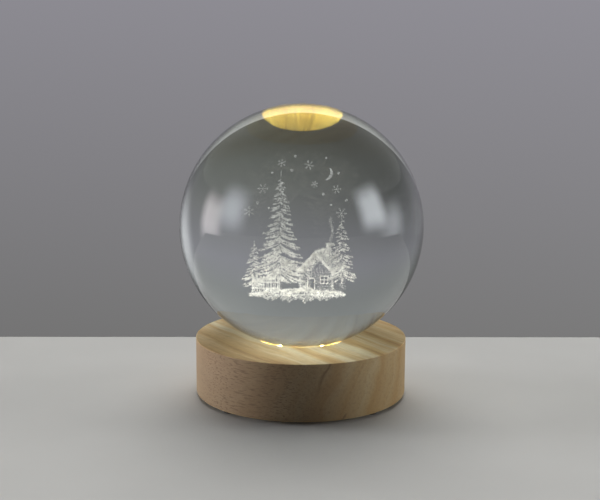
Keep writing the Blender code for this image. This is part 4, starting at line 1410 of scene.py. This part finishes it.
# The ground: the mound's middle, its half width and depth, its height, its waves as (height, per mm
# right, per mm back, start), and its thin patches as (least share, per mm right, per mm back, limit)
MOUND_X = -0.9
MOUND_WIDTH = 10.4
MOUND_DEPTH = 6.2
MOUND_HEIGHT = 1.3
MOUND_LOW = -14.9
MOUND_POINTS = 4200
MOUND_WAVES = ((0.28, 0.9, 0, 1), (0.22, 1.7, -0.8, 0))
MOUND_PATCHES = (0.45, 2.3, 1.7, -0.4)
MOUND_LOOK = (0.10, 1.1)
EDGE_LOW = -14.75
EDGE_FALL = 2.1
EDGE_POINTS = 1700
EDGE_CURVE = 1.4
EDGE_RAGS = (0.45, 8, 19)

# The fence, with a knob of snow on each picket
PICKETS = 8
PICKET_START = np.array((-10.6, -2.6))
PICKET_STEP = np.array((0.78, -0.22))
PICKET_HALF = 0.17
PICKET_LOW = -14.4
PICKET_HIGH = -11.3
PICKET_WAVE = 0.15
PICKET_TIP = 0.4
PICKET_LINE = (30, 0.05)
PICKET_TIP_LINE = (40, 0.03)
KNOB_RISE = 0.45
KNOB_SIZE = 0.13
KNOB_POINTS = 26
KNOB_LOOK = (0.02, 1.1)
RAILS = ((-10.9, -2.6, -12.2), (-4.8, -4.4, -12.2))
RAIL_HEIGHTS = (0, 0.2, -1.4, -1.2)
RAIL_POINTS = 34

# The stepping stones
STONES = 4
STONE_POINTS = 150
STONE_LOOK = (0.05, 1.1)
STONE_SIZE = (0.62, 0.5, 0.05)
STONE_START = np.array((0.1, -3.6, -13.75))
STONE_STEP = np.array((-0.9, -0.55, -0.22))


def mound(cloud):
    """A low mound of snow with a ragged lower edge."""
    random = cloud.random
    angle = random.uniform(0, math.tau, MOUND_POINTS)
    reach = np.sqrt(random.uniform(0.0, 1, MOUND_POINTS))
    x = MOUND_WIDTH * reach * np.cos(angle) + MOUND_X
    y = MOUND_DEPTH * reach * np.sin(angle)
    waves = sum(rise * np.sin(right * x + back * y + start) for rise, right, back, start in MOUND_WAVES)
    least, right, back, edge = MOUND_PATCHES
    whole = np.sin(right * x + back * y) > edge
    kept = random.uniform(0, 1, MOUND_POINTS) < least + (1 - least) * whole
    height = MOUND_LOW + MOUND_HEIGHT * (1 - reach**2) + waves
    cloud.add(np.stack([x, y, height], 1)[kept], *MOUND_LOOK)
    across = random.uniform(-1, 1, EDGE_POINTS)
    depth = np.sqrt(1 - across**2)
    least, coarse, fine = EDGE_RAGS
    ragged = least + (1 - least) * np.abs(np.sin(coarse * across) * np.cos(fine * across))
    fall = random.uniform(0, 1, EDGE_POINTS) ** EDGE_CURVE * ragged * depth * EDGE_FALL
    rim = [MOUND_WIDTH * across + MOUND_X, -MOUND_DEPTH * depth, EDGE_LOW - fall]
    cloud.add(np.stack(rim, 1), *MOUND_LOOK)


def fence(cloud):
    """Pickets with caps of snow, and two double rails."""
    for i in range(PICKETS):
        x, y = PICKET_START + PICKET_STEP * i
        top = PICKET_HIGH + PICKET_WAVE * math.sin(2.0 * i)
        for side in (x - PICKET_HALF, x + PICKET_HALF):
            cloud.line((side, y, PICKET_LOW), (side, y, top), *PICKET_LINE)
            cloud.line((side, y, top), (x, y, top + PICKET_TIP), *PICKET_TIP_LINE)
        knob = cloud.random.normal(0, KNOB_SIZE, (KNOB_POINTS, 3))
        cloud.add(knob + (x, y, top + KNOB_RISE), *KNOB_LOOK)
    for height in RAIL_HEIGHTS:
        cloud.line(*(np.array(place) + (0, 0, height) for place in RAILS), RAIL_POINTS)


def ground():
    """The mound, the picket fence and stepping stones."""
    cloud = Cloud(POINT_SEED + 2)
    mound(cloud)
    fence(cloud)
    for i in range(STONES):
        turn = cloud.random.uniform(0, math.tau, STONE_POINTS)
        stone = np.stack([np.cos(turn), np.sin(turn), np.sin(3 * turn)], 1) * STONE_SIZE
        cloud.add(stone + STONE_START + STONE_STEP * i, *STONE_LOOK)
    return cloud


# The sky: x, z and size of each snowflake, and x and z of each drop of snow
SNOWFLAKES = (
    (-8.6, 8.3, 1.20), (-4.4, 13.4, 0.95), (1.6, 14.6, 1.15), (7.6, 8.2, 1.00), (-11.2, 2.6, 1.15),
    (8.9, 3.4, 1.25), (2.8, 9.3, 0.80),
)
SNOW_DROPS = (
    (-6.4, 11.2), (-1.5, 16.0), (-9.9, 5.6), (5.4, 15.2), (4.6, 6.6), (9.9, 6.1), (-7.3, 4.3),
    (8.0, 11.4), (-2.2, 12.2), (6.5, 5.2),
)

# How far the flakes and drops lie to the front or the back, and how they are drawn
FLAKE_DEPTH = 3
FLAKE_STEP = 2.1
FLAKE_TURN = 0.4
DROP_SIZE = 0.20
DROP_DEPTH = 2.5
DROP_STEP = 1.7
DROP_POINTS = 34
DROP_LOOK = (0.02, 0.9)
ARMS = 6
ARM_LINE = (17, 0.015, 0.8)
BARB_LINE = (14, 0.01, 0.7)
BARB_ROOTS = (0.5, 0.78)
BARB_LENGTH = 0.26
BARB_LEAN = math.radians(55)

# The moon, thinner towards its tips
MOON_PLACE = (5.3, 0, 11.9)
MOON_POINTS = 420
MOON_RADIUS = 1.55
MOON_THICK = 0.62
MOON_HALF_TURN = 1.25
MOON_TAPER = 1.2
MOON_TILT = 0.35
MOON_LOOK = (0.05, 0.9)


def upright_way(angle):
    return np.array([math.cos(angle), 0, math.sin(angle)])


def snowflake(cloud, middle, size, turn):
    """Six arms with two pairs of barbs each."""
    for _, _, angle in ring(size, ARMS, turn):
        arm = upright_way(angle) * size
        cloud.line(middle, middle + arm, *ARM_LINE)
        for root in BARB_ROOTS:
            for lean in (-BARB_LEAN, BARB_LEAN):
                start = middle + arm * root
                barb = upright_way(angle + lean) * size * BARB_LENGTH
                cloud.line(start, start + barb, *BARB_LINE)


def sky():
    """Snowflakes, falling snow and a thin moon over the trees."""
    cloud = Cloud(POINT_SEED + 3)
    random = cloud.random
    for i, (x, z, size) in enumerate(SNOWFLAKES):
        middle = np.array((x, FLAKE_DEPTH * math.sin(FLAKE_STEP * i), z))
        snowflake(cloud, middle, size, FLAKE_TURN * i)
    for i, (x, z) in enumerate(SNOW_DROPS):
        ball = random.normal(0, 1, (DROP_POINTS, 3))
        ball *= DROP_SIZE * (1 + i % 3 / 4) / np.linalg.norm(ball, axis=1, keepdims=True)
        cloud.add(ball + (x, DROP_DEPTH * math.cos(DROP_STEP * i), z), *DROP_LOOK)
    angle = random.uniform(-MOON_HALF_TURN, MOON_HALF_TURN, MOON_POINTS)
    radius = MOON_RADIUS - random.uniform(0, 1, MOON_POINTS) * MOON_THICK * np.cos(angle * MOON_TAPER)
    turn = angle - MOON_TILT
    moon = np.stack([radius * np.cos(turn), 0 * turn, radius * np.sin(turn)], 1)
    cloud.add(moon + MOON_PLACE, *MOON_LOOK)
    return cloud


def make_engraving():
    firs = Cloud(POINT_SEED)
    for tree in FIRS:
        fir(firs, *tree)
    clouds = {"firs": firs, "cottage": cottage(), "ground": ground(), "sky": sky()}
    for name, cloud in clouds.items():
        middle = (0, 0, BALL_CENTRE)
        add_piece(f"engraved_{name}", cloud.mesh(), ENGRAVED, "glass", middle, body="ball")


make_ball()
make_base()
make_engraving()
make_phosphor()
make_led_joints()
make_resistor_caps()
make_contacts()
make_shell()
make_button()
make_spring()
make_cover()
make_screws()
make_feet()
finish_carried_nodes()


# The stage, the lights and the camera

FLOOR_EDGE = 68.5 * MM
FLOOR_TURN = math.radians(1.25)
FLOOR_SIZE = 2.4
FLOOR_THICKNESS = 0.03
FLOOR_CLOUDS = 50 * MM
FLOOR_TONES = ((0.3, (0.5044, 0.5044, 0.5044)), (0.7, (0.5304, 0.5304, 0.5304)))
FLOOR_ROUGHNESS = 0.7

# The room's tone by the height that a ray goes to, from -1 straight down to 1 straight up
ROOM_TONES = (
    (-0.64, (0.083, 0.079, 0.061)),
    (-0.50, (0.124, 0.127, 0.116)),
    (-0.38, (0.152, 0.154, 0.147)),
    (-0.27, (0.194, 0.193, 0.191)),
    (0.04, (0.280, 0.273, 0.304)),
    (0.26, (0.264, 0.268, 0.273)),
    (0.50, (0.313, 0.317, 0.313)),
)
BLACK = (0, 0, 0)
SHADE_ACROSS = (0.35, -0.6)
SHADE_DOWN = (0.1, -0.45, 0.22, 0.68)
SHADE_SEEN = 0.35
ROOM_THROUGH_GLASS = 0.07
ROOM_LIGHT_WAY = (0.0, 0.5, 0.866)
ROOM_LIGHT_SPREAD = (0.8, 1.0)
ROOM_LIGHT_LOW = (0.01, 0.01, 0.01)
ROOM_LIGHT_TINT = (1, 0.995, 0.955)
ROOM_LIGHT = (6.2, 6.2, 6.2)
SIDE_PANEL_WAY = (0.985, 0.125, 0.12)
SIDE_PANEL_SPREAD = (0.80, 1.0)
SIDE_PANEL_TONE = (1.95, 1.92, 2.0)
FIRST_BOUNCE = 0.5

# Softboxes: name, way from the ball, width and height, power, colour, and how far their edges fade
SOFTBOX_DISTANCE = 0.6
SOFTBOXES = (
    ("left_front_softbox", (-0.88, -0.37, 0.28), (0.44, 0.48), 3.6, (0.86, 0.91, 1.0), 0.46),
    ("left_back_softbox", (-0.995, 0.0, 0.09), (0.38, 0.42), 2.5, (1.0, 0.93, 0.95), 0.40),
    ("right_front_softbox", (0.878, -0.345, 0.29), (0.40, 0.46), 4.5, (0.90, 0.95, 1.0), 0.40),
    ("right_back_softbox", (0.998, -0.01, 0.06), (0.46, 0.36), 1.6, (0.90, 0.95, 1.0), 0.48),
)

# Fills: name, way, strength and colour
FILLS = (
    ("left_fill", (-0.978, 0.170, 0.02), 5.0, (1.0, 0.99, 1.0)),
    ("right_fill", (0.99, 0.14, 0.03), 3.2, (1.0, 0.98, 0.94)),
)
FILL_SPREAD = math.radians(24)

CAMERA_TARGET = Vector((-0.47 * MM, 0, 48.39 * MM))
CAMERA_DISTANCE = 364 * MM
CAMERA_ELEVATION = math.radians(10.70)
CAMERA_ROLL = math.radians(0.38)
CAMERA_LENS = 66.06
CAMERA_SENSOR = 36.0


def make_stage():
    half = FLOOR_SIZE / 2
    mesh = box_mesh((-half, FLOOR_EDGE - FLOOR_SIZE, -FLOOR_THICKNESS), (half, FLOOR_EDGE, 0))
    floor = new_object("floor", mesh, ORIGIN, (0, 0, FLOOR_TURN))
    material, _, place = new_material("floor_paint")
    color = place.noise(FLOOR_CLOUDS, CLOUDY).ramp(FLOOR_TONES)
    mesh.materials.append(finished(material, color, FLOOR_ROUGHNESS, more={"Specular IOR Level": 0.0}))


def make_world():
    """A plain grey room, darker low down. Its soft light comes from above and behind."""
    world = bpy.data.worlds.new("room")
    world.use_nodes = True
    bpy.context.scene.world = world
    tree = world.node_tree
    way = node(tree, "TexCoord", output="Generated")
    by_camera, by_gloss, by_glass, depth = (
        node(tree, "LightPath", output=kind)
        for kind in ("Is Camera Ray", "Is Glossy Ray", "Is Transmission Ray", "Diffuse Depth")
    )
    across, _, height = way.parts()
    stops = [((place + 1) / 2, tone) for place, tone in ROOM_TONES]
    shade = across.between(*SHADE_ACROSS) * height.between(*SHADE_DOWN)
    seen = mixed(
        tree, shade * by_camera.between(0, 1, 1, SHADE_SEEN), height.between(-1, 1).ramp(stops), BLACK
    )
    seen = mixed(tree, by_camera.between(0, 1, ROOM_THROUGH_GLASS, 0), seen, BLACK)
    panel = way.towards(SIDE_PANEL_WAY).between(*SIDE_PANEL_SPREAD).maths("POWER", 2)
    seen = mixed(tree, panel * by_glass, seen, SIDE_PANEL_TONE)

    lit = way.towards(ROOM_LIGHT_WAY).between(*ROOM_LIGHT_SPREAD).maths("POWER", 2)
    light = mixed(tree, 1.0, lit.ramp(((0, ROOM_LIGHT_LOW), (1, ROOM_LIGHT_TINT))), ROOM_LIGHT, "MULTIPLY")
    shown = (by_gloss + by_glass + by_camera).maths("MINIMUM", 1)
    shown = shown * depth.maths("LESS_THAN", FIRST_BOUNCE)
    set_inputs(tree.nodes["Background"], {"Color": mixed(tree, shown, light, seen)})


def add_light(name, kind, way, power, color, distance=0):
    """A lamp that shines on the ball from the given way, and isn't seen itself."""
    lamp = bpy.data.lights.new(name, kind)
    lamp.energy = power
    lamp.color = color
    way = Vector(way)
    place = Vector((0, 0, BALL_CENTRE)) + way.normalized() * distance
    light = new_object(name, lamp, place, (-way).to_track_quat("-Z", "Y").to_euler())
    light.visible_camera = False
    light.visible_transmission = False
    return light, lamp


def add_softbox(name, way, size, power, color, edge):
    """A soft panel facing the ball that fades towards its edges. It shows as a gleam in the glass."""
    light, lamp = add_light(name, "AREA", way, power, color, SOFTBOX_DISTANCE)
    light.visible_diffuse = False
    lamp.shape = "RECTANGLE"
    lamp.size, lamp.size_y = size
    lamp.use_nodes = True
    tree = lamp.node_tree
    across, up, _ = (abs(share - 0.5) for share in node(tree, "NewGeometry", output="Parametric").parts())
    fades = [
        off.between(0.5 - edge, 0.5, 1, 0, interpolation_type="SMOOTHSTEP") for off in (across, up)
    ]
    set_inputs(tree.nodes["Emission"], {"Strength": fades[0] * fades[1]})


def make_lights():
    """The softboxes, and wide, even light from far off that reaches only the wood and the floor."""
    for softbox in SOFTBOXES:
        add_softbox(*softbox)
    for name, way, strength, color in FILLS:
        light, lamp = add_light(name, "SUN", way, strength, color)
        light.visible_glossy = False
        lamp.angle = FILL_SPREAD


def make_camera():
    data = bpy.data.cameras.new("camera")
    data.lens = CAMERA_LENS
    data.sensor_width = CAMERA_SENSOR
    back = Vector((0, -math.cos(CAMERA_ELEVATION), math.sin(CAMERA_ELEVATION)))
    look = (-back).to_track_quat("-Z", "Y").to_matrix() @ Matrix.Rotation(CAMERA_ROLL, 3, "Z")
    place = CAMERA_TARGET + back * CAMERA_DISTANCE
    bpy.context.scene.camera = new_object("camera", data, place, look.to_euler())


make_stage()
make_world()
make_lights()
make_camera()
bpy.context.scene.view_settings.view_transform = "Standard"

bpy.context.view_layer.update()
